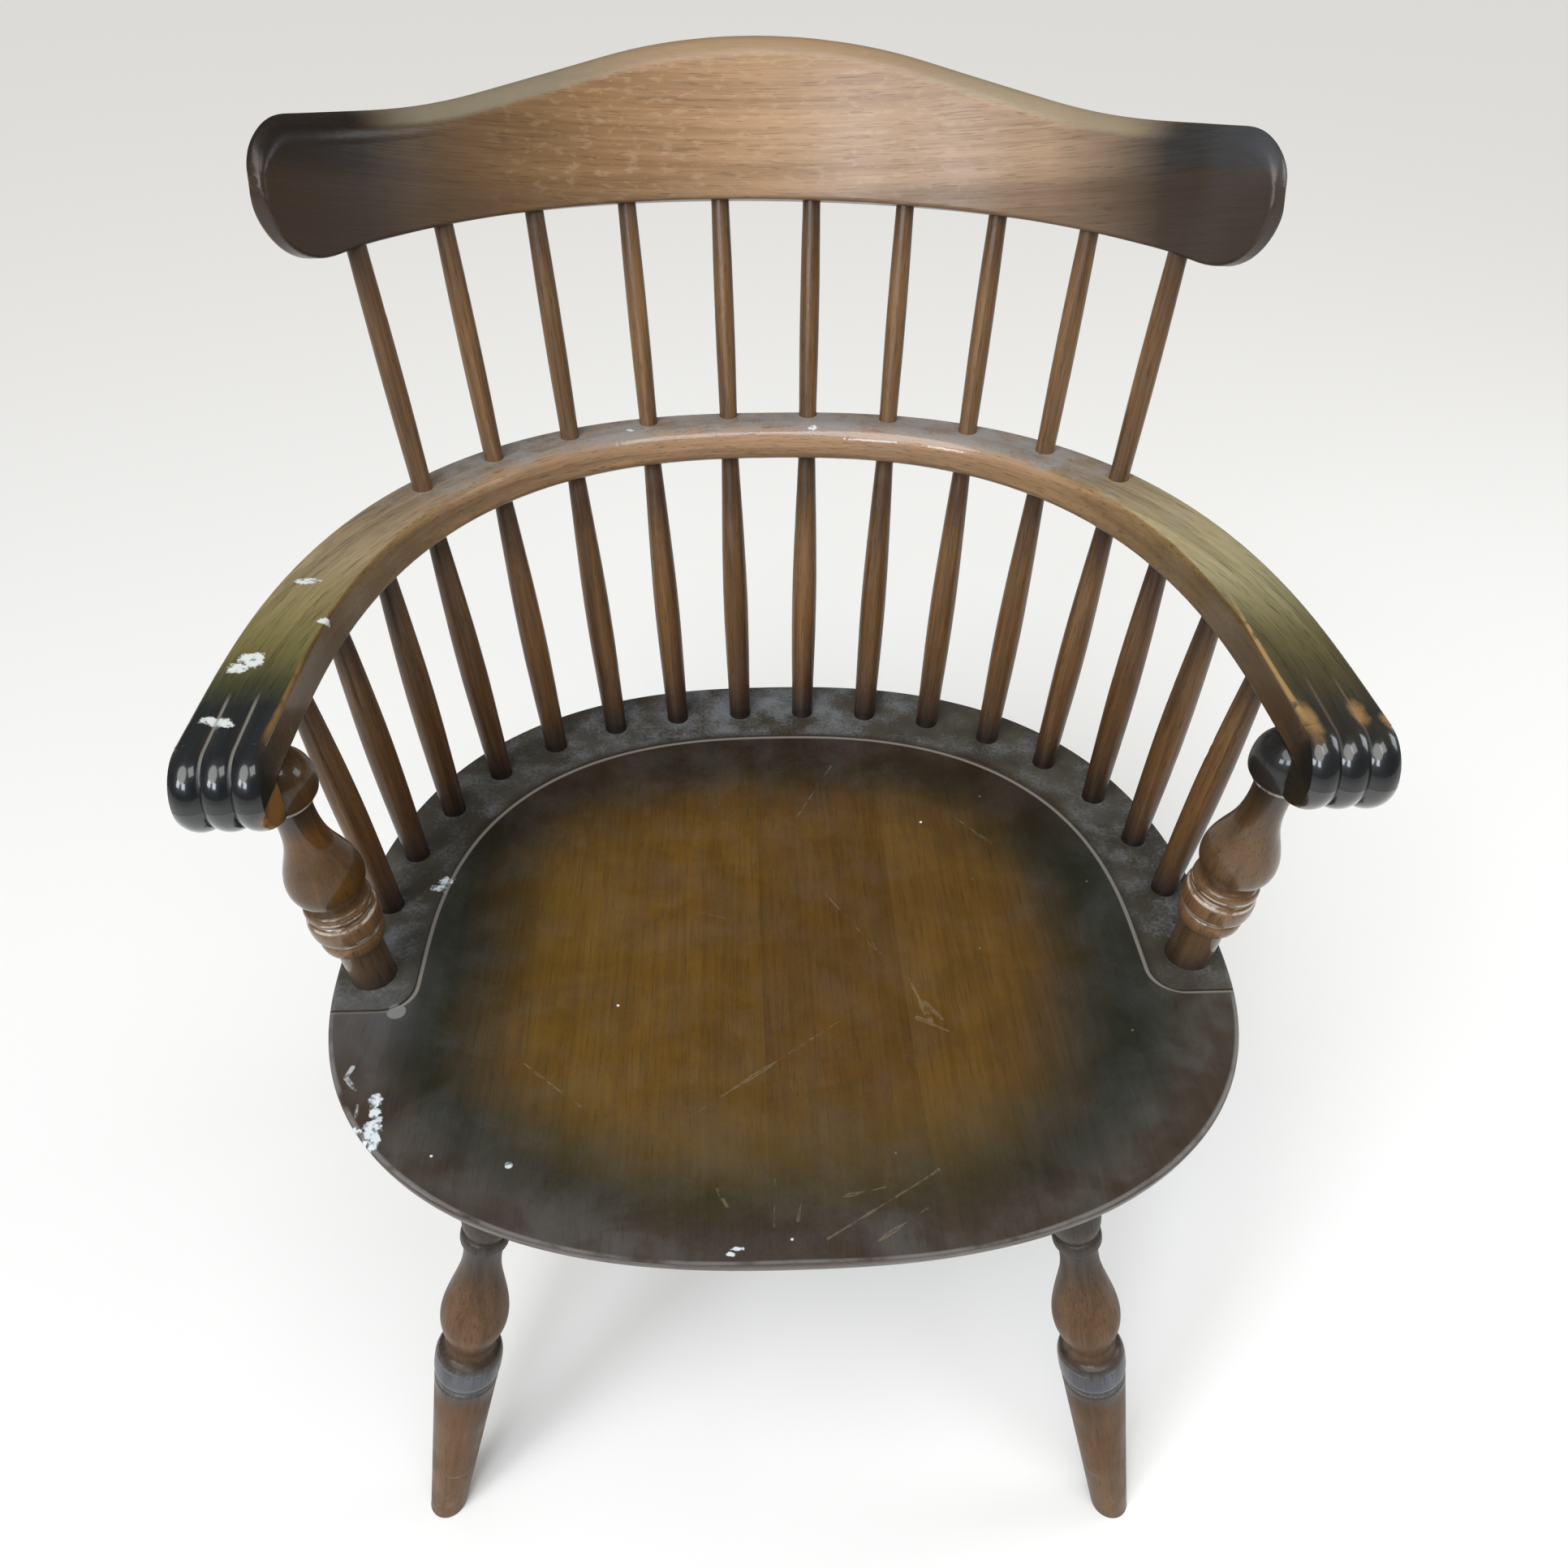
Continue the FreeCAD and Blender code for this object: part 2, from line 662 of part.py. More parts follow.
def stretcher(start, end, end_radius, straight, past_axis):
    """A swelled stretcher with two scribed rings, between two axes that its ends run past."""
    length = start.distanceToPoint(end)
    middle = length / 2
    width = stretcher_ring_width
    shoulder = stretcher_swell_radius - 0.6
    lower = [(straight, end_radius), ((straight + middle) / 2, stretcher_swell_radius - 2.2),
             (middle - 3 * width, shoulder)]
    bead = [(middle - 3 * width, shoulder), (middle - 2.5 * width, stretcher_ring_radius),
            (middle - 2 * width, shoulder)]
    waist = [(middle - 2 * width, shoulder), (middle, stretcher_swell_radius), (middle + 2 * width, shoulder)]
    halves = [[(-past_axis, end_radius), (straight, end_radius)], lower, bead]
    others = [[(length - height, radius) for height, radius in reversed(run)] for run in reversed(halves)]
    return turned(halves + [waist] + others, start, end)


def side_stretcher_line(side):
    ends = []
    for row in ("front", "rear"):
        foot, top = leg_ends(row + "_" + side)
        ends.append(at_height(foot, top, stretcher_height))
    return ends


def cross_stretcher_line():
    return [sum(side_stretcher_line(side), Vector()) * 0.5 for side in side_signs]


def long_spindle(seat_hole, crest_hole):
    length = seat_hole.distanceToPoint(crest_hole)
    share = length / (crest_hole.z - seat_hole.z)
    bow_low = bow_above_seat * share - spindle_straight
    bow_high = (bow_above_seat + bow_thickness) * share + spindle_straight
    runs = [
        [(socket_end_gap - seat_socket_depth, spindle_seat_radius), (spindle_straight, spindle_seat_radius)],
        [(spindle_straight, spindle_seat_radius), (spindle_swell_height / 2, spindle_swell_radius - 0.5),
         (spindle_swell_height, spindle_swell_radius),
         ((spindle_swell_height + bow_low) / 2, (spindle_swell_radius + spindle_bow_radius) / 2 + 0.4),
         (bow_low, spindle_bow_radius)],
        [(bow_low, spindle_bow_radius), (bow_high, spindle_bow_radius)],
        [(bow_high, spindle_bow_radius), ((bow_high + length) / 2, spindle_upper_swell_radius),
         (length - spindle_straight, spindle_crest_radius)],
        [(length - spindle_straight, spindle_crest_radius),
         (length + crest_socket_depth - socket_end_gap, spindle_crest_radius)],
    ]
    return turned(runs, seat_hole, crest_hole)


def short_spindle(seat_hole, bow_hole):
    length = seat_hole.distanceToPoint(bow_hole)
    runs = [
        [(socket_end_gap - seat_socket_depth, spindle_seat_radius), (spindle_straight, spindle_seat_radius)],
        [(spindle_straight, spindle_seat_radius), (spindle_swell_height / 2, spindle_swell_radius - 0.5),
         (spindle_swell_height, spindle_swell_radius),
         ((spindle_swell_height + length) / 2, (spindle_swell_radius + spindle_bow_radius) / 2 + 0.4),
         (length - spindle_straight, spindle_bow_radius)],
        [(length - spindle_straight, spindle_bow_radius),
         (length + short_spindle_top_depth - socket_end_gap, spindle_bow_radius)],
    ]
    return turned(runs, seat_hole, bow_hole)


def build():
    panel = seat_panel()
    bow = arm_bow()
    crest = crest_rail()
    nodes = {}
    holes = seat_holes()
    over = 4 * spindle_straight
    for side, sign in side_signs.items():
        crest_tops = crest_holes(side)
        for place, seat_hole in enumerate(holes):
            low = mirrored(seat_hole, side)
            if place < long_per_side:
                high = crest_tops[place]
                length = low.distanceToPoint(high)
                bow_at = low.distanceToPoint(at_height(low, high, (bow_underside + bow_top) / 2))
                crest_end = length + crest_socket_depth
                bow = bow.cut(socket(low, high, spindle_bow_radius, bow_at - over, bow_at + over))
                crest = crest.cut(socket(low, high, spindle_crest_radius, length - over, crest_end))
                nodes[f"back_spindle_{side}_{place + 1}"] = long_spindle(low, high)
            else:
                step = long_per_side + short_per_side - 1 - place
                high = mirrored(bow_middle(short_spindle_first + short_spindle_pitch * step), side)
                length = low.distanceToPoint(high)
                bow_end = length + short_spindle_top_depth
                bow = bow.cut(socket(low, high, spindle_bow_radius, length - over, bow_end))
                nodes[f"arm_spindle_{side}_{step + 1}"] = short_spindle(low, high)
            panel = panel.cut(socket(low, high, spindle_seat_radius, -seat_socket_depth, over))
        base, top = post_line(side)
        length = base.distanceToPoint(top)
        panel = panel.cut(socket(base, top, post_foot_radius, -post_foot_depth - socket_end_gap, over))
        panel = panel.cut(socket(base, top, post_base_radius, -post_foot_sunk, over))
        tenon_end = length + post_tenon_length + socket_end_gap
        bow = bow.cut(socket(base, top, post_tenon_radius, length - over, tenon_end))
        nodes[f"arm_post_{side}"] = arm_post(side)
        block = scroll_quarter(90)
        nodes[f"knuckle_block_{side}"] = block if sign > 0 else flipped(block)
    legs = {f"{row}_{side}": leg(f"{row}_{side}") for row in ("front", "rear") for side in side_signs}
    for side in side_signs:
        start, end = side_stretcher_line(side)
        length = start.distanceToPoint(end)
        reach = stretcher_past_axis + socket_end_gap
        legs[f"front_{side}"] = legs[f"front_{side}"].cut(
            socket(start, end, stretcher_end_radius, -reach, 2 * leg_ring_radius))
        legs[f"rear_{side}"] = legs[f"rear_{side}"].cut(
            socket(start, end, stretcher_end_radius, length - 2 * leg_ring_radius, length + reach))
        nodes[f"side_stretcher_{side}"] = stretcher(
            start, end, stretcher_end_radius, stretcher_straight, stretcher_past_axis)
    start, end = cross_stretcher_line()
    length = start.distanceToPoint(end)
    reach = cross_past_axis + socket_end_gap
    nodes["side_stretcher_left"] = nodes["side_stretcher_left"].cut(
        socket(start, end, cross_end_radius, -reach, cross_straight))
    nodes["side_stretcher_right"] = nodes["side_stretcher_right"].cut(
        socket(start, end, cross_end_radius, length - cross_straight, length + reach))
    nodes["cross_stretcher"] = stretcher(start, end, cross_end_radius, cross_straight, cross_past_axis)
    for place, solid in legs.items():
        foot, top = leg_ends(place)
        length = foot.distanceToPoint(top)
        panel = panel.cut(socket(foot, top, leg_top_radius, length - over, length + leg_socket_depth))
        nodes[f"leg_{place}"] = solid
    for board, solid in enumerate(seat_boards(panel), 1):
        nodes[f"seat_board_{board}"] = solid
    nodes["arm_bow"] = bow
    nodes["crest_rail"] = crest
    return nodes


def main():
    nodes = build()
    boxes = [solid.optimalBoundingBox(True, False) for solid in nodes.values()]
    middle_y = (min(box.YMin for box in boxes) + max(box.YMax for box in boxes)) / 2
    os.makedirs("parts", exist_ok=True)
    for name, shape in nodes.items():
        solid, = shape.Solids
        solid.translate(Vector(0, -middle_y, 0))
        solid.exportStep(f"parts/{name}.step")
        print(name, solid.isValid(), round(solid.Volume / 1000, 2), "cubic cm")
    top = max(box.ZMax for box in boxes)
    half = max(box.XMax for box in boxes)
    print("slid back by", round(middle_y, 2), "height", round(top, 1), "half width", round(half, 1))


main()
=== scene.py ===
import math

import bpy
import numpy as np
from mathutils import Matrix, Vector

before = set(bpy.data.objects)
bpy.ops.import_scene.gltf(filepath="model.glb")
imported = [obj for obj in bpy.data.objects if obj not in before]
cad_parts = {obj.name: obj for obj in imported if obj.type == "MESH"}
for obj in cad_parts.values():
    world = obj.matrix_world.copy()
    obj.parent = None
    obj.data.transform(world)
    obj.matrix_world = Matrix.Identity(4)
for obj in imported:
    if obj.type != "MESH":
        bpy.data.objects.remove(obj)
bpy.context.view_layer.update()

# A comb-back armchair in dark stained wood. Metres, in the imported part's own frame:
# the origin is on the floor under the middle of the chair, and the sitter faces -Y.

# Finishes are placed in the frame that the chair was drawn in, whose Y = 0 is the middle
# of the seat's depth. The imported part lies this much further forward.
SLIDE_Y = 0.06384

# Camera, at the photograph's height and angle
CAMERA_PLACE = Vector((-0.0260, -0.5833 - SLIDE_Y, 1.0407))
CAMERA_YAW = math.radians(2.02)
CAMERA_PITCH = math.radians(38.0)
CAMERA_ROLL = math.radians(0.16)
CAMERA_LENS = 28.70
CAMERA_SHIFT = (0.0067, -0.0300)

# The seat in plan: its scribed line, its rubbed middle and its glue lines
OVAL_POWER = 2.45
SEAT_MIDDLE_Y = -0.035
SEAT_HALF_WIDTH = 0.279
SEAT_FRONT_REACH = 0.216
SCRIBE_HALF_WIDTH = 0.227
SCRIBE_REACH = 0.215
SCRIBE_TURN_Y = -0.063
SCRIBE_TURN_RADIUS = 0.020
SEAT_TOP = 0.445
FIRST_SEAM_X = -0.195
BOARD_WIDTH = 0.090

# The bent arm bow in plan
BOW_MIDDLE_Y = -0.060
BOW_HALF_WIDTH = 0.302
BOW_REACH = 0.353
BOW_TOP = 0.6616
ARM_WIDTH = 0.0445

# The crest rail's bend: a cylinder that leans back
CREST_LOW_Y = 0.3356
CREST_LOW_Z = 0.7985
CREST_LEAN = math.radians(19.2)
CREST_RADIUS = 0.3053

# The studio: the sky's strength as light, in glossy reflections and as seen, and the lamps
FLOOR_SIZE = 40.0
SKY_LIGHT = 0.42
SKY_IN_GLOSS = 0.10
SKY_SEEN = 0.80
DAYLIGHT = 1.9
DAYLIGHT_SPREAD = math.radians(40.0)


class Nodes:
    """Adds nodes to one tree. A value is a number, a tuple, or another node's output."""

    def __init__(self, tree):
        self.tree = tree

    def put(self, socket, value):
        if isinstance(value, bpy.types.NodeSocket):
            self.tree.links.new(value, socket)
        elif isinstance(value, (tuple, Vector)) and socket.type == "RGBA" and len(value) == 3:
            socket.default_value = (*value, 1.0)
        else:
            socket.default_value = value

    def add(self, kind, **settings):
        node = self.tree.nodes.new(kind)
        for name, value in settings.items():
            setattr(node, name, value)
        return node

    def math(self, operation, first, second=0.0, clamp=False):
        node = self.add("ShaderNodeMath", operation=operation, use_clamp=clamp)
        self.put(node.inputs[0], first)
        self.put(node.inputs[1], second)
        return node.outputs[0]

    def vector(self, operation, first, second=(0.0, 0.0, 0.0)):
        node = self.add("ShaderNodeVectorMath", operation=operation)
        self.put(node.inputs[0], first)
        self.put(node.inputs[1], second)
        return node.outputs["Value"] if operation in ("LENGTH", "DOT_PRODUCT") else node.outputs["Vector"]

    def scaled(self, vector, scale):
        node = self.add("ShaderNodeVectorMath", operation="SCALE")
        self.put(node.inputs[0], vector)
        self.put(node.inputs["Scale"], scale)
        return node.outputs["Vector"]

    def split(self, vector):
        node = self.add("ShaderNodeSeparateXYZ")
        self.put(node.inputs[0], vector)
        return node.outputs["X"], node.outputs["Y"], node.outputs["Z"]

    def join(self, x, y, z):
        node = self.add("ShaderNodeCombineXYZ")
        for socket, value in zip(node.inputs, (x, y, z)):
            self.put(socket, value)
        return node.outputs[0]

    def noise(self, coordinate, scale, detail=2.0, roughness=0.5, distortion=0.0):
        node = self.add("ShaderNodeTexNoise")
        self.put(node.inputs["Vector"], coordinate)
        self.put(node.inputs["Scale"], scale)
        self.put(node.inputs["Detail"], detail)
        self.put(node.inputs["Roughness"], roughness)
        self.put(node.inputs["Distortion"], distortion)
        return node.outputs[0]

    def fade(self, value, start, end):
        """0 at start and beyond, 1 at end and beyond, and smooth between them."""
        node = self.add("ShaderNodeMapRange", interpolation_type="SMOOTHSTEP")
        self.put(node.inputs["Value"], value)
        self.put(node.inputs["From Min"], start)
        self.put(node.inputs["From Max"], end)
        return node.outputs["Result"]

    def mix(self, share, first, second, blend="MIX"):
        node = self.add("ShaderNodeMix", data_type="RGBA", blend_type=blend)
        self.put(node.inputs[0], share)
        self.put(node.inputs[6], first)
        self.put(node.inputs[7], second)
        return node.outputs[2]

    def blend(self, share, first, second):
        node = self.add("ShaderNodeMix", data_type="FLOAT")
        self.put(node.inputs[0], share)
        self.put(node.inputs[2], first)
        self.put(node.inputs[3], second)
        return node.outputs[0]

    def ramp(self, value, low, high, stops, interpolation="LINEAR"):
        """Colours along a value: each stop is a place between low and high, and a colour."""
        node = self.add("ShaderNodeValToRGB")
        band = node.color_ramp
        band.interpolation = interpolation
        while len(band.elements) < len(stops):
            band.elements.new(1.0)
        for element, (place, colour) in zip(band.elements, stops):
            element.position = (place - low) / (high - low)
            element.color = (*colour, 1.0)
        across = self.add("ShaderNodeMapRange")
        self.put(across.inputs["Value"], value)
        self.put(across.inputs["From Min"], low)
        self.put(across.inputs["From Max"], high)
        self.put(node.inputs[0], across.outputs["Result"])
        return node.outputs[0]

    def use(self, effect, **values):
        node = self.add("ShaderNodeGroup")
        node.node_tree = bpy.data.node_groups[effect]
        for name, value in values.items():
            self.put(node.inputs[name.replace("_", " ")], value)
        return node.outputs

    def most(self, *masks):
        total = masks[0]
        for mask in masks[1:]:
            total = self.math("MAXIMUM", total, mask)
        return total


KINDS = {"vector": "NodeSocketVector", "value": "NodeSocketFloat", "colour": "NodeSocketColor"}


def effect(name, takes, gives):
    """A shader node group: takes and gives are lists of (socket name, kind of value)."""
    tree = bpy.data.node_groups.new(name, "ShaderNodeTree")
    for label, kind in takes:
        tree.interface.new_socket(label, in_out="INPUT", socket_type=KINDS[kind])
    for label, kind in gives:
        tree.interface.new_socket(label, in_out="OUTPUT", socket_type=KINDS[kind])
    nodes = Nodes(tree)
    return nodes, nodes.add("NodeGroupInput").outputs, nodes.add("NodeGroupOutput").inputs


def build_effects():
    # Grain that runs along the coordinate's Z: broad figure, fine streaks and short dark pores
    n, given, out = effect("wood grain", [("Coordinate", "vector"), ("Coarseness", "value")],
                           [("Figure", "value"), ("Streak", "value"), ("Pore", "value")])
    place = n.vector("DIVIDE", given["Coordinate"], n.join(given["Coarseness"], given["Coarseness"],
                                                           given["Coarseness"]))
    n.put(out["Figure"], n.noise(n.vector("MULTIPLY", place, (80.0, 80.0, 3.5)), 1.0, 3.0, 0.55, 0.9))
    n.put(out["Streak"], n.noise(n.vector("MULTIPLY", place, (620.0, 620.0, 13.0)), 1.0, 3.0, 0.6, 0.25))
    pore = n.noise(n.vector("MULTIPLY", place, (1500.0, 1500.0, 55.0)), 1.0, 1.0, 0.5, 0.0)
    n.put(out["Pore"], n.fade(pore, 0.60, 0.70))

    # A soft-edged patch with a ragged outline
    takes = [("Coordinate", "vector"), ("Centre", "vector"), ("Size", "vector"),
             ("Softness", "value"), ("Raggedness", "value"), ("Grit", "value")]
    n, given, out = effect("rubbed patch", takes, [("Mask", "value")])
    away = n.vector("DIVIDE", n.vector("SUBTRACT", given["Coordinate"], given["Centre"]), given["Size"])
    reach = n.vector("LENGTH", away)
    rag = n.math("SUBTRACT", n.noise(given["Coordinate"], given["Grit"], 4.0, 0.65), 0.5)
    reach = n.math("ADD", reach, n.math("MULTIPLY", rag, given["Raggedness"]))
    n.put(out["Mask"], n.fade(reach, n.math("ADD", 1.0, given["Softness"]),
                              n.math("SUBTRACT", 1.0, given["Softness"])))

    # A scratch from one point to another, measured in plan
    n, given, out = effect("scratch", [("Coordinate", "vector"), ("Start", "vector"), ("End", "vector"),
                                       ("Width", "value")], [("Mask", "value")])
    wander = n.noise(given["Coordinate"], 45.0, 3.0)
    flat = n.vector("MULTIPLY", given["Coordinate"], (1.0, 1.0, 0.0))
    run = n.vector("SUBTRACT", given["End"], given["Start"])
    here = n.vector("SUBTRACT", flat, given["Start"])
    length_squared = n.vector("DOT_PRODUCT", run, run)
    share = n.math("DIVIDE", n.vector("DOT_PRODUCT", here, run), length_squared, clamp=True)
    gap = n.vector("LENGTH", n.vector("SUBTRACT", here, n.scaled(run, share)))
    gap = n.math("ABSOLUTE", n.math("ADD", gap, n.math("MULTIPLY", n.math("SUBTRACT", wander, 0.5), 0.005)))
    line = n.fade(gap, given["Width"], n.math("MULTIPLY", given["Width"], 0.3))
    broken = n.fade(n.noise(given["Coordinate"], 160.0, 2.0), 0.36, 0.56)
    n.put(out["Mask"], n.math("MULTIPLY", line, broken))

    # Dust that lies on faces that look up, in cloudy patches
    takes = [("Coordinate", "vector"), ("Normal", "vector"), ("Cover", "value")]
    n, given, out = effect("settled dust", takes, [("Mask", "value")])
    upward = n.fade(n.split(given["Normal"])[2], 0.35, 0.95)
    cloud = n.noise(given["Coordinate"], 34.0, 5.0, 0.62)
    grit = n.noise(given["Coordinate"], 420.0, 2.0, 0.6)
    cloud = n.math("ADD", n.math("MULTIPLY", cloud, 0.7), n.math("MULTIPLY", grit, 0.3))
    start = n.math("SUBTRACT", 0.74, n.math("MULTIPLY", given["Cover"], 0.5))
    n.put(out["Mask"], n.math("MULTIPLY", upward, n.fade(cloud, start, n.math("ADD", start, 0.26))))

    # Small pale specks and dents, scattered
    n, given, out = effect("specks", [("Coordinate", "vector"), ("Spacing", "value"), ("Size", "value")],
                           [("Mask", "value")])
    cells = n.add("ShaderNodeTexVoronoi", feature="F1")
    n.put(cells.inputs["Vector"], given["Coordinate"])
    n.put(cells.inputs["Scale"], n.math("DIVIDE", 1.0, given["Spacing"]))
    chance = n.split(cells.outputs["Color"])[0]
    near = n.fade(cells.outputs["Distance"], given["Size"], n.math("MULTIPLY", given["Size"], 0.4))
    n.put(out["Mask"], n.math("MULTIPLY", near, n.math("GREATER_THAN", chance, 0.62)))

    # How far outside an oval a point is: 1 on the oval
    takes = [("Coordinate", "vector"), ("Centre", "vector"), ("Half Size", "vector"), ("Power", "value")]
    n, given, out = effect("oval reach", takes, [("Reach", "value")])
    away = n.vector("DIVIDE", n.vector("SUBTRACT", given["Coordinate"], given["Centre"]), given["Half Size"])
    x, y, _ = n.split(n.vector("ABSOLUTE", away))
    total = n.math("ADD", n.math("POWER", x, given["Power"]), n.math("POWER", y, given["Power"]))
    n.put(out["Reach"], n.math("POWER", total, n.math("DIVIDE", 1.0, given["Power"])))


def material(name):
    """A new material with its tree, and the place in the drawn frame and the normal."""
    made = bpy.data.materials.new(name)
    made.use_nodes = True
    made.node_tree.nodes.clear()
    nodes = Nodes(made.node_tree)
    mapping = nodes.add("ShaderNodeMapping")
    mapping.inputs["Location"].default_value = (0.0, SLIDE_Y, 0.0)
    nodes.put(mapping.inputs["Vector"], nodes.add("ShaderNodeTexCoord").outputs["Object"])
    place = mapping.outputs[0]
    normal = nodes.add("ShaderNodeNewGeometry").outputs["Normal"]
    return made, nodes, place, normal


def varnished(nodes, colour, roughness, height, depth=0.0004, coat=0.25, coat_roughness=0.22, specular=0.4):
    """Closes a material as varnished wood, with height in shares of depth for its bump."""
    shader = nodes.add("ShaderNodeBsdfPrincipled")
    nodes.put(shader.inputs["Base Color"], colour)
    nodes.put(shader.inputs["Roughness"], roughness)
    shader.inputs["Specular IOR Level"].default_value = specular
    nodes.put(shader.inputs["Coat Weight"], coat)
    shader.inputs["Coat Roughness"].default_value = coat_roughness
    bump = nodes.add("ShaderNodeBump")
    bump.inputs["Distance"].default_value = depth
    nodes.put(bump.inputs["Height"], height)
    nodes.put(shader.inputs["Normal"], bump.outputs[0])
    end = nodes.add("ShaderNodeOutputMaterial")
    nodes.put(end.inputs["Surface"], shader.outputs[0])


def grained(nodes, grain, colour, light, dark, figure=0.6, streak=0.5, pore=0.55):
    """Wood colour with its figure and streaks: light and dark multiply the plain colour."""
    figured = nodes.fade(grain["Figure"], 0.32, 0.68)
    streaked = nodes.fade(grain["Streak"], 0.30, 0.70)
    figured = nodes.math("MULTIPLY", figured, figure)
    streaked = nodes.math("MULTIPLY", streaked, streak)
    share = nodes.math("DIVIDE", nodes.math("ADD", figured, streaked), figure + streak)
    tint = nodes.mix(share, dark, light)
    made = nodes.mix(1.0, colour, tint, "MULTIPLY")
    return nodes.mix(nodes.math("MULTIPLY", grain["Pore"], pore), made, (0.012, 0.008, 0.006))


def uneven(nodes, place, streak, streak_share, scale, detail, wave_share):
    """A height of grain streaks on slow waves."""
    streaks = nodes.math("MULTIPLY", streak, streak_share)
    waves = nodes.math("MULTIPLY", nodes.noise(place, scale, detail), wave_share)
    return nodes.math("ADD", streaks, waves)


def dress(node, made):
    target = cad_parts[node].data
    target.materials.clear()
    target.materials.append(made)


def turning_frame(node):
    """The lower end and the turn of a turned piece, whose own Z is the line it was turned on."""
    points = np.array([v.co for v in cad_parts[node].data.vertices])
    centre = points.mean(axis=0)
    spread = points - centre
    _, directions = np.linalg.eigh(spread.T @ spread)
    axis = directions[:, 2]
    if axis @ np.array((0.31, 0.37, 1.0)) < 0:
        axis = -axis
    low = Vector(centre + axis * (spread @ axis).min())
    turn = Vector((0, 0, 1)).rotation_difference(Vector(axis)).to_euler()
    return low, turn


def own_line(nodes, node, place):
    """The coordinate measured from a turned piece's lower end, with Z along the piece."""
    low, turn = turning_frame(node)
    mapping = nodes.add("ShaderNodeMapping", vector_type="TEXTURE")
    mapping.inputs["Location"].default_value = low + Vector((0.0, SLIDE_Y, 0.0))
    mapping.inputs["Rotation"].default_value = turn
    nodes.put(mapping.inputs["Vector"], place)
    return mapping.outputs[0]


def scribe_mask(n, place):
    """The pale line scribed round the dish."""
    x, y, _ = n.split(place)
    side = n.math("ABSOLUTE", x)
    reach = n.use("oval reach", Coordinate=place, Centre=(0.0, SEAT_MIDDLE_Y, 0.0),
                  Half_Size=(SCRIBE_HALF_WIDTH, SCRIBE_REACH, 1.0), Power=OVAL_POWER)["Reach"]
    behind = n.math("MULTIPLY", n.math("ABSOLUTE", n.math("SUBTRACT", reach, 1.0)), SCRIBE_REACH)
    beside = n.math("ABSOLUTE", n.math("SUBTRACT", side, SCRIBE_HALF_WIDTH))
    turn_x = SCRIBE_HALF_WIDTH + SCRIBE_TURN_RADIUS
    from_turn = n.vector("SUBTRACT", n.join(side, y, 0.0), (turn_x, SCRIBE_TURN_Y, 0.0))
    turning = n.math("ABSOLUTE", n.math("SUBTRACT", n.vector("LENGTH", from_turn), SCRIBE_TURN_RADIUS))
    outward = n.math("ABSOLUTE", n.math("SUBTRACT", y, SCRIBE_TURN_Y - SCRIBE_TURN_RADIUS))
    turning = n.blend(n.math("GREATER_THAN", side, turn_x), turning, outward)
    ahead = n.blend(n.math("LESS_THAN", y, SCRIBE_TURN_Y), beside, turning)
    gap = n.blend(n.math("LESS_THAN", y, SEAT_MIDDLE_Y), behind, ahead)
    return n.fade(gap, 0.0017, 0.0007), reach


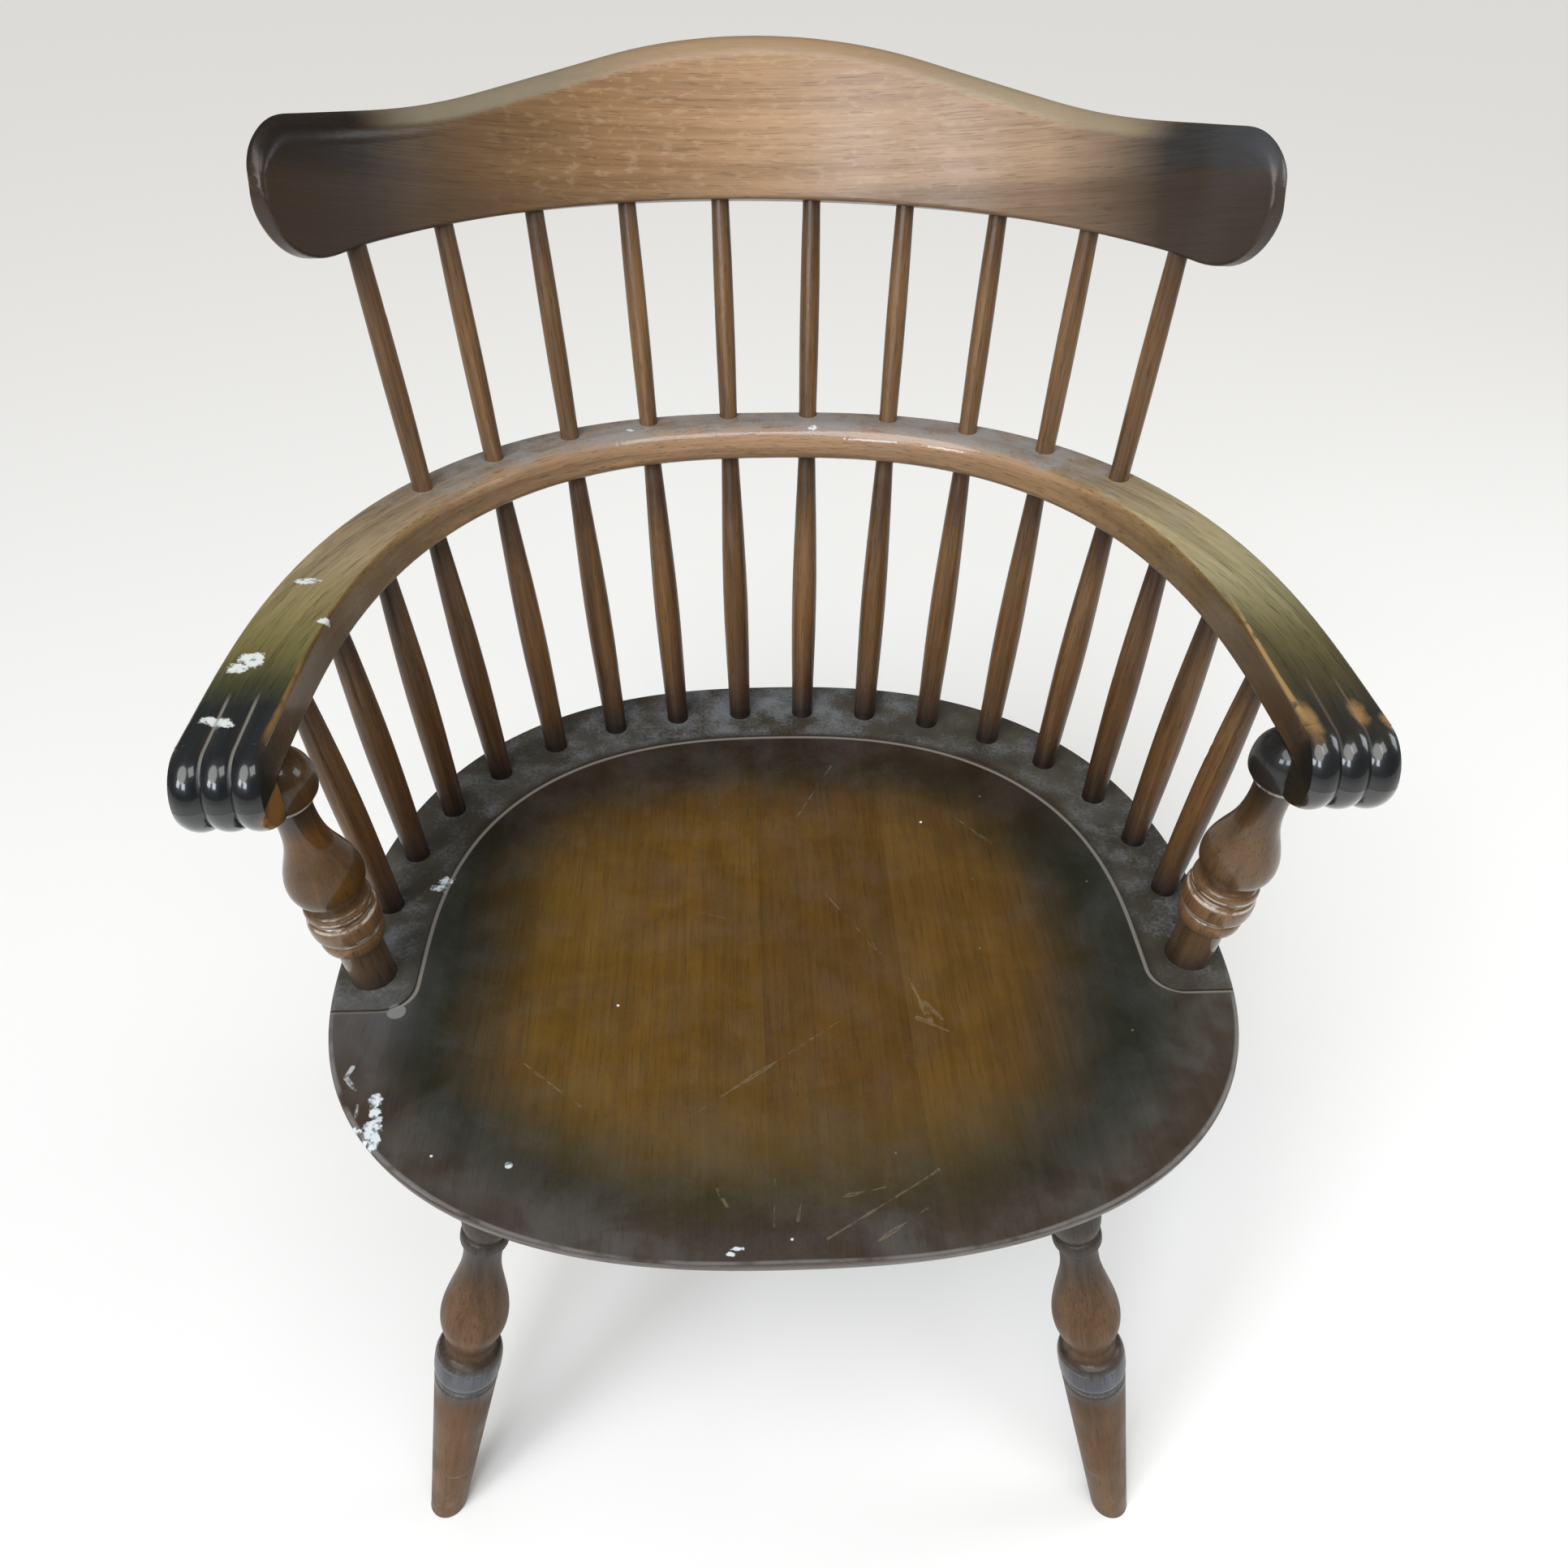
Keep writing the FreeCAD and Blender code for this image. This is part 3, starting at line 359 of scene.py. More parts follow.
def seat_marks(n, place):
    """Scratches, flaked spots and small dents on the seat, each as a mask."""
    scratches = []
    for start, end, width in (
            ((0.0445, 0.149), (0.009, 0.083), 0.0008), ((0.051, -0.076), (-0.060, -0.159), 0.0008),
            ((0.078, -0.057), (0.084, -0.080), 0.0012), ((0.084, -0.080), (0.088, -0.094), 0.0014),
            ((0.080, -0.090), (0.097, -0.101), 0.0011), ((0.086, -0.078), (0.095, -0.092), 0.0009),
            ((0.015, -0.237), (0.078, -0.197), 0.0010), ((0.041, -0.239), (0.069, -0.220), 0.0008),
            ((-0.011, -0.200), (-0.0125, -0.2290), 0.0008), ((0.003, -0.212), (0.000, -0.226), 0.0008),
            ((0.025, -0.212), (0.052, -0.206), 0.0006), ((-0.030, -0.004), (-0.055, 0.004), 0.0006),
            ((0.030, 0.020), (0.065, -0.040), 0.0005), ((-0.042, -0.205), (-0.037, -0.216), 0.0009),
            ((0.115, 0.106), (0.150, 0.060), 0.0005), ((-0.155, -0.120), (-0.120, -0.150), 0.0005)):
        scratches.append(n.use("scratch", Coordinate=place, Start=(*start, 0.0), End=(*end, 0.0),
                               Width=width)["Mask"])
    squiggles = []
    for start, end, width in (
            ((-0.2528, -0.124), (-0.2549, -0.131), 0.0013), ((-0.2549, -0.131), (-0.2475, -0.1395), 0.0014),
            ((-0.2440, -0.150), (-0.2430, -0.158), 0.0012)):
        squiggles.append(n.use("scratch", Coordinate=place, Start=(*start, 0.0), End=(*end, 0.0),
                               Width=width)["Mask"])
    flakes = []
    for centre, size, rag in (
            ((-0.2345, -0.1475), (0.0036, 0.0050), 1.3), ((-0.2330, -0.1555), (0.0028, 0.0046), 1.3),
            ((-0.2320, -0.1650), (0.0042, 0.0074), 1.2), ((-0.2295, -0.1740), (0.0028, 0.0050), 1.3),
            ((-0.2345, -0.1785), (0.0052, 0.0022), 1.3), ((-0.2440, -0.1665), (0.0056, 0.0022), 1.6),
            ((-0.2385, -0.1745), (0.0050, 0.0022), 1.7), ((-0.1549, -0.1882), (0.0021, 0.0021), 0.3),
            ((-0.1970, -0.1830), (0.0008, 0.0008), 0.3), ((-0.1035, -0.0749), (0.0009, 0.0009), 0.3),
            ((0.1040, 0.0848), (0.0010, 0.0010), 0.3), ((-0.0035, -0.2368), (0.0008, 0.0008), 0.3),
            ((-0.0315, -0.2410), (0.0034, 0.0010), 1.4), ((-0.0350, -0.2440), (0.0026, 0.0012), 1.4),
            ((-0.2248, 0.0282), (0.0042, 0.0030), 1.8), ((-0.2290, 0.0215), (0.0046, 0.0028), 1.6)):
        flakes.append(n.use("rubbed patch", Coordinate=place, Centre=(*centre, SEAT_TOP), Size=(*size, 0.05),
                            Softness=0.20, Raggedness=1.8 * rag, Grit=360.0)["Mask"])
    return n.most(*scratches), n.most(*squiggles), n.most(*flakes)


def seat_material():
    made, n, place, normal = material("seat_varnish")
    x, y, z = n.split(place)
    board = n.math("FLOOR", n.math("DIVIDE", n.math("SUBTRACT", x, FIRST_SEAM_X), BOARD_WIDTH))
    jump = n.math("MULTIPLY", board, 0.731)
    grain_place = n.join(n.math("ADD", x, jump), n.math("ADD", z, jump), y)
    grain = n.use("wood grain", Coordinate=grain_place, Coarseness=1.5)

    wander = n.math("MULTIPLY", n.math("SUBTRACT", n.noise(place, 11.0, 4.0, 0.6), 0.5), 0.26)
    rubbed = n.use("oval reach", Coordinate=place, Centre=(-0.004, -0.039, 0.0),
                   Half_Size=(0.184, 0.175, 1.0), Power=2.6)["Reach"]
    rubbed = n.math("ADD", rubbed, wander)
    middle = n.fade(rubbed, 1.16, 0.70)
    up = n.split(normal)[2]
    top = n.fade(up, 0.80, 0.97)

    boards = n.ramp(x, -0.30, 0.30, [(-0.30, (0.104, 0.054, 0.007)), (-0.105, (0.100, 0.050, 0.006)),
                                     (-0.015, (0.082, 0.040, 0.006)), (0.075, (0.098, 0.050, 0.009)),
                                     (0.165, (0.090, 0.047, 0.012))], "CONSTANT")
    amber = grained(n, grain, boards, (1.14, 1.12, 1.06), (0.80, 0.77, 0.70), 0.6, 0.7, 0.25)
    cloudy = n.fade(n.noise(place, 22.0, 5.0, 0.65, 0.6), 0.32, 0.68)
    amber = n.mix(1.0, amber, n.mix(cloudy, (0.86, 0.84, 0.80), (1.10, 1.10, 1.08)), "MULTIPLY")
    worn_front = n.fade(y, -0.12, -0.20)
    amber = n.mix(n.math("MULTIPLY", worn_front, 0.45), amber, (0.086, 0.064, 0.024))

    mottle = n.noise(place, 17.0, 4.0, 0.6, 0.4)
    ring_dark = n.mix(n.fade(mottle, 0.34, 0.66), (0.012, 0.013, 0.007), (0.025, 0.026, 0.021))
    ring_brown = n.mix(n.fade(mottle, 0.34, 0.66), (0.017, 0.011, 0.005), (0.029, 0.020, 0.012))
    behind = n.fade(y, 0.02, 0.13)
    shade = n.mix(behind, ring_dark, ring_brown)
    rim = n.use("oval reach", Coordinate=place, Centre=(0.0, SEAT_MIDDLE_Y, 0.0),
                Half_Size=(SEAT_HALF_WIDTH, SEAT_FRONT_REACH, 1.0), Power=OVAL_POWER)["Reach"]
    front = n.fade(y, SEAT_MIDDLE_Y + 0.02, SEAT_MIDDLE_Y - 0.05)
    lip = n.math("MULTIPLY", n.fade(rim, 0.80, 0.96), front)
    lip_tint = n.mix(n.fade(mottle, 0.38, 0.62), (0.046, 0.031, 0.022), (0.066, 0.056, 0.048))
    shade = n.mix(n.math("MULTIPLY", lip, 0.85), shade, lip_tint)
    # Painted sheen: a grey-blue reflection painted over the dark ring at the seat's left front.
    left_painted_sheen = n.math("MULTIPLY", n.fade(x, -0.205, -0.245), n.fade(y, -0.16, -0.09))
    shade = n.mix(n.math("MULTIPLY", left_painted_sheen, 0.45), shade, (0.082, 0.082, 0.086))
    shade = grained(n, grain, shade, (1.12, 1.12, 1.12), (0.88, 0.88, 0.88), 0.8, 0.4, 0.2)
    colour = n.mix(middle, shade, amber)
    edge = grained(n, grain, (0.044, 0.030, 0.022), (1.25, 1.25, 1.25), (0.75, 0.75, 0.75))
    colour = n.mix(top, edge, colour)
    # Paler patches along the front arris where it turns up: partly wear, partly a painted highlight.
    from_arris = n.math("ABSOLUTE", n.math("SUBTRACT", rim, 0.994))
    arris = n.math("MULTIPLY", n.fade(from_arris, 0.007, 0.002), front)
    arris = n.math("MULTIPLY", arris, n.fade(n.noise(place, 26.0, 4.0, 0.6), 0.34, 0.56))
    colour = n.mix(n.math("MULTIPLY", arris, n.math("MULTIPLY", n.fade(up, 0.35, 0.6), 0.5)), colour,
                   (0.230, 0.220, 0.210))

    line, scribe_reach = scribe_mask(n, place)
    deck = n.math("MULTIPLY", n.fade(scribe_reach, 0.99, 1.04), n.fade(y, -0.095, -0.055))
    deck_tint = n.mix(n.fade(mottle, 0.36, 0.64), (0.042, 0.036, 0.026), (0.064, 0.060, 0.048))
    colour = n.mix(n.math("MULTIPLY", n.math("MULTIPLY", deck, top), 0.8), colour, deck_tint)
    cover = n.ramp(x, -0.30, 0.30, [(-0.30, (0.54,) * 3), (-0.20, (0.54,) * 3), (-0.08, (0.72,) * 3),
                                    (0.04, (0.72,) * 3), (0.14, (0.46,) * 3), (0.28, (0.62,) * 3)])
    dust = n.use("settled dust", Coordinate=place, Normal=normal, Cover=n.split(cover)[0])["Mask"]
    dust = n.math("MULTIPLY", dust, n.blend(deck, 0.07, 0.75))
    colour = n.mix(dust, colour, (0.150, 0.158, 0.172))
    faint = n.blend(n.math("MULTIPLY", n.fade(x, -0.235, -0.245), n.fade(y, -0.075, -0.080)), 0.85, 0.35)
    colour = n.mix(n.math("MULTIPLY", n.math("MULTIPLY", line, top), faint), colour, (0.205, 0.190, 0.165))

    scratches, squiggles, flakes = seat_marks(n, place)
    plug = n.use("rubbed patch", Coordinate=place, Centre=(-0.2359, -0.0832, SEAT_TOP),
                 Size=(0.0056, 0.0056, 0.05), Softness=0.10, Raggedness=0.05, Grit=60.0)["Mask"]
    specks = n.use("specks", Coordinate=place, Spacing=0.019, Size=0.050)["Mask"]
    flaws = n.fade(n.noise(place, 30.0, 2.0), 0.45, 0.60)
    specks = n.math("MULTIPLY", n.math("MULTIPLY", specks, flaws), n.math("MULTIPLY", top, 0.55))
    colour = n.mix(n.math("MULTIPLY", scratches, 0.32), colour, (0.235, 0.185, 0.115))
    colour = n.mix(specks, colour, (0.26, 0.25, 0.20))
    colour = n.mix(n.math("MULTIPLY", plug, 0.8), colour, (0.185, 0.185, 0.180))
    colour = n.mix(n.math("MULTIPLY", squiggles, 0.8), colour, (0.42, 0.44, 0.46))
    colour = n.mix(flakes, colour, n.mix(n.fade(n.noise(place, 260.0, 3.0), 0.36, 0.50),
                                         (0.13, 0.13, 0.13), (0.56, 0.60, 0.62)))

    haze = n.noise(place, 14.0, 5.0, 0.6)
    rough = n.blend(n.fade(haze, 0.3, 0.7), 0.32, 0.48)
    rough = n.math("ADD", rough, n.math("MULTIPLY", dust, 0.4))
    height = n.math("MULTIPLY", grain["Streak"], 0.20)
    height = n.math("SUBTRACT", height, n.math("MULTIPLY", grain["Pore"], 0.10))
    height = n.math("SUBTRACT", height, n.math("MULTIPLY", scratches, 0.5))
    height = n.math("ADD", height, n.math("MULTIPLY", n.noise(place, 30.0, 3.0), 0.6))
    varnished(n, colour, rough, height, depth=0.0004, coat=0.16, coat_roughness=0.20, specular=0.22)
    return made


def bow_material():
    made, n, place, normal = material("bow_varnish")
    x, y, z = n.split(place)
    side = n.math("ABSOLUTE", x)
    behind = n.math("SUBTRACT", y, BOW_MIDDLE_Y)
    squeezed = n.math("MULTIPLY", behind, BOW_HALF_WIDTH / BOW_REACH)
    round_run = n.math("MULTIPLY", n.math("ARCTAN2", squeezed, x), 0.30)
    across = n.vector("LENGTH", n.join(side, squeezed, 0.0))
    bent = n.join(across, z, round_run)
    straight = n.join(side, z, behind)
    is_bent = n.math("GREATER_THAN", behind, 0.0)
    grain_place = n.add("ShaderNodeMix", data_type="VECTOR")
    n.put(grain_place.inputs[0], is_bent)
    n.put(grain_place.inputs[4], straight)
    n.put(grain_place.inputs[5], bent)
    grain = n.use("wood grain", Coordinate=grain_place.outputs[1], Coarseness=1.0)

    up = n.split(normal)[2]
    top = n.fade(up, 0.75, 0.97)
    right_top = n.ramp(y, -0.15, 0.36, [(-0.115, (0.014, 0.014, 0.012)), (-0.085, (0.024, 0.022, 0.015)),
                                        (-0.055, (0.054, 0.046, 0.022)), (-0.015, (0.100, 0.086, 0.036)),
                                        (0.05, (0.260, 0.235, 0.130)), (0.12, (0.300, 0.250, 0.145)),
                                        (0.19, (0.220, 0.165, 0.105)), (0.27, (0.200, 0.142, 0.100))])
    left_top = n.ramp(y, -0.15, 0.36, [(-0.115, (0.010, 0.012, 0.015)), (-0.066, (0.014, 0.017, 0.016)),
                                       (-0.044, (0.042, 0.044, 0.020)), (-0.015, (0.114, 0.102, 0.036)),
                                       (0.03, (0.190, 0.158, 0.068)), (0.085, (0.250, 0.195, 0.115)),
                                       (0.15, (0.210, 0.155, 0.100)), (0.27, (0.200, 0.142, 0.100))])
    right = n.fade(x, -0.02, 0.02)
    top_colour = n.mix(right, left_top, right_top)
    # Colour of the bow's faces along its length; towards the back it is lightened, partly by a painted
    # highlight.
    face_tone_and_highlight = n.ramp(y, -0.15, 0.34, [(-0.106, (0.008, 0.009, 0.010)), (-0.090, (0.050, 0.027, 0.011)),
                                          (-0.070, (0.078, 0.040, 0.013)), (0.00, (0.092, 0.054, 0.016)),
                                          (0.10, (0.180, 0.114, 0.047)),
                                          (0.20, (0.290, 0.180, 0.098)), (0.31, (0.300, 0.180, 0.105))])
    colour = n.mix(top, face_tone_and_highlight, top_colour)
    colour = grained(n, grain, colour, (1.25, 1.2, 1.15), (0.72, 0.70, 0.68), 0.8, 0.4)

    inner_x = BOW_HALF_WIDTH - ARM_WIDTH
    widening = n.blend(n.fade(y, -0.040, -0.095), 0.0014, 0.0030)
    arris = n.fade(n.math("ABSOLUTE", n.math("SUBTRACT", side, inner_x + 0.0010)), widening, 0.0004)
    along_arm = n.math("MULTIPLY", n.fade(y, -0.100, -0.080), n.fade(y, 0.045, -0.005))
    along_arm = n.math("MULTIPLY", along_arm, n.most(right, n.fade(y, -0.015, -0.035)))
    worn = n.math("MULTIPLY", n.math("MULTIPLY", arris, along_arm), n.fade(up, 0.25, 0.6))
    worn = n.math("MULTIPLY", worn, n.fade(n.noise(place, 70.0, 4.0, 0.6), 0.30, 0.48))
    colour = n.mix(n.math("MULTIPLY", worn, n.blend(right, 0.60, 0.8)), colour,
                   n.mix(right, (0.260, 0.135, 0.045), (0.360, 0.225, 0.090)))

    rubs = []
    for centre, size, rag in (
            ((0.2615, -0.092, BOW_TOP), (0.0034, 0.012, 0.01), 1.3),
            ((0.2880, -0.086, BOW_TOP), (0.0032, 0.0075, 0.01), 1.6),
            ((0.3000, -0.094, 0.660), (0.0026, 0.005, 0.01), 1.4)):
        rubs.append(n.use("rubbed patch", Coordinate=place, Centre=centre, Size=size, Softness=0.75,
                          Raggedness=rag, Grit=170.0)["Mask"])
    colour = n.mix(n.math("MULTIPLY", n.most(*rubs), 0.62), colour, (0.36, 0.205, 0.075))

    back_cover = n.fade(y, 0.09, 0.24)
    dust = n.use("settled dust", Coordinate=place, Normal=normal,
                 Cover=n.blend(back_cover, 0.38, 0.80))["Mask"]
    dust = n.math("MULTIPLY", dust, n.fade(y, -0.04, 0.12))
    colour = n.mix(n.math("MULTIPLY", dust, 0.75), colour, (0.235, 0.228, 0.220))

    chips = []
    for centre, size in (
            ((-0.2860, -0.0214), (0.0072, 0.0050)), ((-0.2905, -0.0310), (0.0056, 0.0044)),
            ((-0.2830, -0.0250), (0.0048, 0.0048)), ((-0.2885, -0.0766), (0.0068, 0.0032)),
            ((-0.2815, -0.0800), (0.0044, 0.0026)), ((-0.2775, 0.0580), (0.0076, 0.0034)),
            ((-0.2558, 0.0151), (0.0038, 0.0026)), ((-0.0994, 0.2623), (0.0030, 0.0017)),
            ((0.0322, 0.2670), (0.0034, 0.0019))):
        chips.append(n.use("rubbed patch", Coordinate=place, Centre=(*centre, BOW_TOP), Size=(*size, 0.005),
                           Softness=0.20, Raggedness=2.0, Grit=330.0)["Mask"])
    bare = n.most(*chips)
    flake = n.mix(n.fade(n.noise(place, 300.0, 3.0), 0.32, 0.46), (0.20, 0.20, 0.19), (0.58, 0.60, 0.57))
    colour = n.mix(bare, colour, flake)

    # Painted reflection: thin pale lines along the two grooves of each arm top near the knuckle, stronger on
    # the left arm.
    across_arm = n.math("SUBTRACT", side, inner_x)
    from_valley = n.math("PINGPONG", across_arm, ARM_WIDTH / 6)
    on_valley = n.math("LESS_THAN", n.math("ABSOLUTE", n.math("SUBTRACT", across_arm, ARM_WIDTH / 2)), 0.012)
    along_groove = n.math("MULTIPLY", n.fade(y, -0.050, -0.066), n.fade(y, -0.118, -0.104))
    valley_glint = n.fade(from_valley, 0.0011, 0.0004)
    valley_glint = n.math("MULTIPLY", valley_glint, n.math("MULTIPLY", on_valley, along_groove))
    colour = n.mix(n.math("MULTIPLY", valley_glint, n.blend(right, 0.65, 0.15)), colour, (0.26, 0.26, 0.24))

    rough = n.blend(n.fade(n.noise(place, 18.0, 4.0, 0.6), 0.3, 0.7), 0.26, 0.42)
    rough = n.math("ADD", rough, n.math("MULTIPLY", dust, 0.4))
    height = uneven(n, place, grain["Streak"], 0.2, 35.0, 3.0, 0.6)
    height = n.math("SUBTRACT", height, n.math("MULTIPLY", n.math("ADD", bare, worn), 0.5))
    gloss = n.blend(n.fade(n.math("ABSOLUTE", n.math("SUBTRACT", y, 0.07)), 0.10, 0.17), 0.30, 0.85)
    varnished(n, colour, rough, height, coat=gloss, coat_roughness=0.11, specular=0.2)
    return made


def knuckle_material():
    made, n, place, _ = material("knuckle_varnish")
    x, y, z = n.split(place)
    grain = n.use("wood grain", Coordinate=n.join(x, z, y), Coarseness=0.8)
    right = n.fade(x, -0.02, 0.02)
    plain = n.mix(right, (0.007, 0.010, 0.012), (0.016, 0.016, 0.012))
    colour = grained(n, grain, plain, (1.3, 1.25, 1.2), (0.75, 0.75, 0.75))
    rub = n.use("rubbed patch", Coordinate=place, Centre=(-0.259, -0.106, 0.628), Size=(0.007, 0.012, 0.012),
                Softness=0.5, Raggedness=1.3, Grit=150.0)["Mask"]
    colour = n.mix(n.math("MULTIPLY", rub, 0.8), colour, (0.30, 0.135, 0.030))
    rough = n.blend(n.fade(n.noise(place, 40.0, 4.0), 0.3, 0.7), 0.16, 0.30)
    height = uneven(n, place, grain["Streak"], 0.15, 60.0, 3.0, 0.5)
    varnished(n, colour, rough, height, coat=1.0, coat_roughness=0.07, specular=0.4)
    return made


def crest_material():
    made, n, place, normal = material("crest_varnish")
    mapping = n.add("ShaderNodeMapping", vector_type="TEXTURE")
    reach = Matrix.Rotation(-CREST_LEAN, 3, "X") @ Vector((0.0, CREST_RADIUS, 0.0))
    axis = Vector((0.0, CREST_LOW_Y, CREST_LOW_Z)) - reach
    mapping.inputs["Location"].default_value = axis
    mapping.inputs["Rotation"].default_value = (-CREST_LEAN, 0.0, 0.0)
    n.put(mapping.inputs["Vector"], place)
    across, depth, height_up = n.split(mapping.outputs[0])
    run = n.math("MULTIPLY", n.math("ARCTAN2", across, depth), CREST_RADIUS)
    radial = n.math("SUBTRACT", n.vector("LENGTH", n.join(across, depth, 0.0)), CREST_RADIUS)
    side = n.math("ABSOLUTE", run)
    grain = n.use("wood grain", Coordinate=n.join(height_up, radial, run), Coarseness=1.25)

    # Colour along the crest: dark ears and a paler middle; the pale middle is partly a painted sheen.
    plain = n.ramp(run, -0.36, 0.36, [(-0.36, (0.016, 0.011, 0.008)), (-0.290, (0.018, 0.012, 0.008)),
                                      (-0.230, (0.105, 0.058, 0.022)), (-0.12, (0.245, 0.138, 0.064)),
                                      (0.0, (0.360, 0.222, 0.124)), (0.13, (0.320, 0.205, 0.125)),
                                      (0.200, (0.320, 0.215, 0.138)), (0.285, (0.032, 0.029, 0.028)),
                                      (0.36, (0.022, 0.021, 0.021))])
    colour = grained(n, grain, plain, (1.14, 1.14, 1.13), (0.72, 0.68, 0.64), 0.7, 0.6, 0.30)
    drawn_out = n.vector("MULTIPLY", n.join(run, height_up, 0.0), (90.0, 240.0, 0.0))
    fleck = n.fade(n.noise(drawn_out, 1.0, 3.0, 0.6, 0.3), 0.52, 0.66)
    colour = n.mix(n.math("MULTIPLY", fleck, n.blend(n.fade(side, 0.24, 0.10), 0.0, 0.22)), colour,
                   (0.500, 0.370, 0.235))
    low = n.fade(height_up, 0.014, -0.004)
    colour = n.mix(n.math("MULTIPLY", low, 0.45), colour, (0.060, 0.034, 0.018))

    # The up-facing bevel along the top is lighter, away from the ears: partly wear, partly a painted
    # highlight.
    up = n.split(normal)[2]
    bevel_wear_and_highlight = n.fade(up, 0.42, 0.66)
    band = n.mix(n.fade(run, -0.05, 0.16), (0.195, 0.168, 0.116), (0.250, 0.200, 0.128))
    band = n.mix(n.fade(side, 0.16, 0.05), band, (0.270, 0.180, 0.105))
    bevel_wear_and_highlight = n.math("MULTIPLY", bevel_wear_and_highlight, n.fade(side, 0.295, 0.235))
    colour = n.mix(n.math("MULTIPLY", bevel_wear_and_highlight, 0.8), colour, band)
    # Painted sheen: a soft grey-blue reflection over the far ear.
    far_ear_sheen = n.math("MULTIPLY", n.fade(run, 0.240, 0.300), n.fade(n.noise(place, 9.0, 2.0, 0.4), 0.38, 0.66))
    colour = n.mix(n.math("MULTIPLY", far_ear_sheen, 0.35), colour, (0.090, 0.095, 0.104))

    rough = n.blend(n.fade(n.noise(place, 16.0, 4.0, 0.6), 0.3, 0.7), 0.30, 0.46)
    height = uneven(n, place, grain["Streak"], 0.3, 30.0, 3.0, 0.5)
    height = n.math("SUBTRACT", height, n.math("MULTIPLY", grain["Pore"], 0.2))
    varnished(n, colour, rough, height, coat=0.32, coat_roughness=0.28, specular=0.2)
    return made


def spindle_material(node, long_one):
    made, n, place, _ = material(f"{node}_varnish")
    line = own_line(n, node, place)
    x, y, z = n.split(line)
    seed = 0.137 * (1 + sorted(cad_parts).index(node))
    own_wood = n.join(n.math("ADD", x, seed), n.math("ADD", y, seed), z)
    grain = n.use("wood grain", Coordinate=own_wood, Coarseness=0.7)
    tone = 0.86 + 0.30 * math.modf(seed * 3.7)[0]
    warm = (0.118 * tone, 0.060 * tone, 0.023 * tone)
    dark = (0.030, 0.018, 0.012)
    stops = [(0.0, dark), (0.028, (0.030, 0.019, 0.013)), (0.052, (0.078, 0.043, 0.021)), (0.10, warm),
             (0.16, (0.118 * tone, 0.066 * tone, 0.031 * tone)), (0.200, (0.066, 0.038, 0.021)),
             (0.235, (0.130, 0.074, 0.038))]
    top = 0.40
    if long_one:
        stops += [(0.33, (0.160 * tone, 0.090 * tone, 0.041 * tone)), (0.365, (0.112, 0.062, 0.030)),
                  (top, (0.066, 0.041, 0.024))]
    plain = n.ramp(z, 0.0, top, stops)
    colour = grained(n, grain, plain, (1.5, 1.42, 1.3), (0.50, 0.46, 0.43), 0.9, 0.5)
    foot = n.fade(z, 0.029, 0.022)
    colour = n.mix(n.math("MULTIPLY", foot, 0.8), colour, (0.010, 0.007, 0.006))
    specks = n.use("specks", Coordinate=line, Spacing=0.012, Size=0.05)["Mask"]
    colour = n.mix(n.math("MULTIPLY", specks, 0.35), colour, (0.24, 0.19, 0.13))
    rough = n.blend(n.fade(n.noise(place, 50.0, 3.0), 0.3, 0.7), 0.32, 0.5)
    height = uneven(n, place, grain["Streak"], 0.35, 45.0, 2.0, 0.4)
    varnished(n, colour, rough, height, coat=0.2, coat_roughness=0.2, specular=0.25)
    return made


def banded(n, value, bands):
    """A mask of thin bands round a turning: each is (place, half width)."""
    return n.most(*[n.fade(n.math("ABSOLUTE", n.math("SUBTRACT", value, place)), half, half * 0.35)
                    for place, half in bands])


def post_material(node):
    made, n, place, _ = material(f"{node}_varnish")
    line = own_line(n, node, place)
    x, y, z = n.split(line)
    seed = 0.21 if "left" in node else 0.67
    grain = n.use("wood grain", Coordinate=n.join(n.math("ADD", x, seed), y, z), Coarseness=1.1)
    left = "left" in node
    vase = (0.082, 0.038, 0.007) if left else (0.098, 0.056, 0.026)
    neck = (0.120, 0.050, 0.010) if left else (0.075, 0.042, 0.019)
    ball = (0.060, 0.031, 0.009) if left else (0.015, 0.014, 0.014)
    plain = n.ramp(z, 0.02, 0.24, [(0.02, (0.030, 0.019, 0.013)), (0.036, (0.078, 0.048, 0.026)),
                                   (0.057, (0.105, 0.062, 0.030)), (0.062, (0.145, 0.080, 0.036)),
                                   (0.080, (0.150, 0.084, 0.040)), (0.098, (0.125, 0.070, 0.033)),
                                   (0.104, (0.080, 0.044, 0.019)), (0.118, vase), (0.140, vase),
                                   (0.158, neck), (0.172, (0.050, 0.032, 0.018)),
                                   (0.182, (0.034, 0.026, 0.020)), (0.190, ball), (0.235, ball)])
    colour = grained(n, grain, plain, (1.25, 1.22, 1.2), (0.62, 0.58, 0.54), 0.9, 0.45)
    # Pale bands at the ring edges: partly wear, partly painted highlights.
    ring_wear_and_highlight = banded(n, z, [(0.0600, 0.0012), (0.0722, 0.0016), (0.0765, 0.0010), (0.0885, 0.0011),
                          (0.0912, 0.0012), (0.0955, 0.0010), (0.1845, 0.0016)])
    ring_wear_and_highlight = n.math("MULTIPLY", ring_wear_and_highlight, n.fade(n.noise(place, 110.0, 3.0, 0.6), 0.36, 0.56))
    colour = n.mix(n.math("MULTIPLY", ring_wear_and_highlight, 0.75), colour, (0.50, 0.44, 0.37))
    specks = n.use("specks", Coordinate=line, Spacing=0.014, Size=0.05)["Mask"]
    colour = n.mix(n.math("MULTIPLY", specks, 0.4), colour, (0.30, 0.25, 0.19))
    rough = n.blend(n.fade(n.noise(place, 45.0, 3.0), 0.3, 0.7), 0.28, 0.44)
    height = uneven(n, place, grain["Streak"], 0.3, 45.0, 3.0, 0.5)
    varnished(n, colour, rough, height, coat=0.55, coat_roughness=0.10, specular=0.2)
    return made


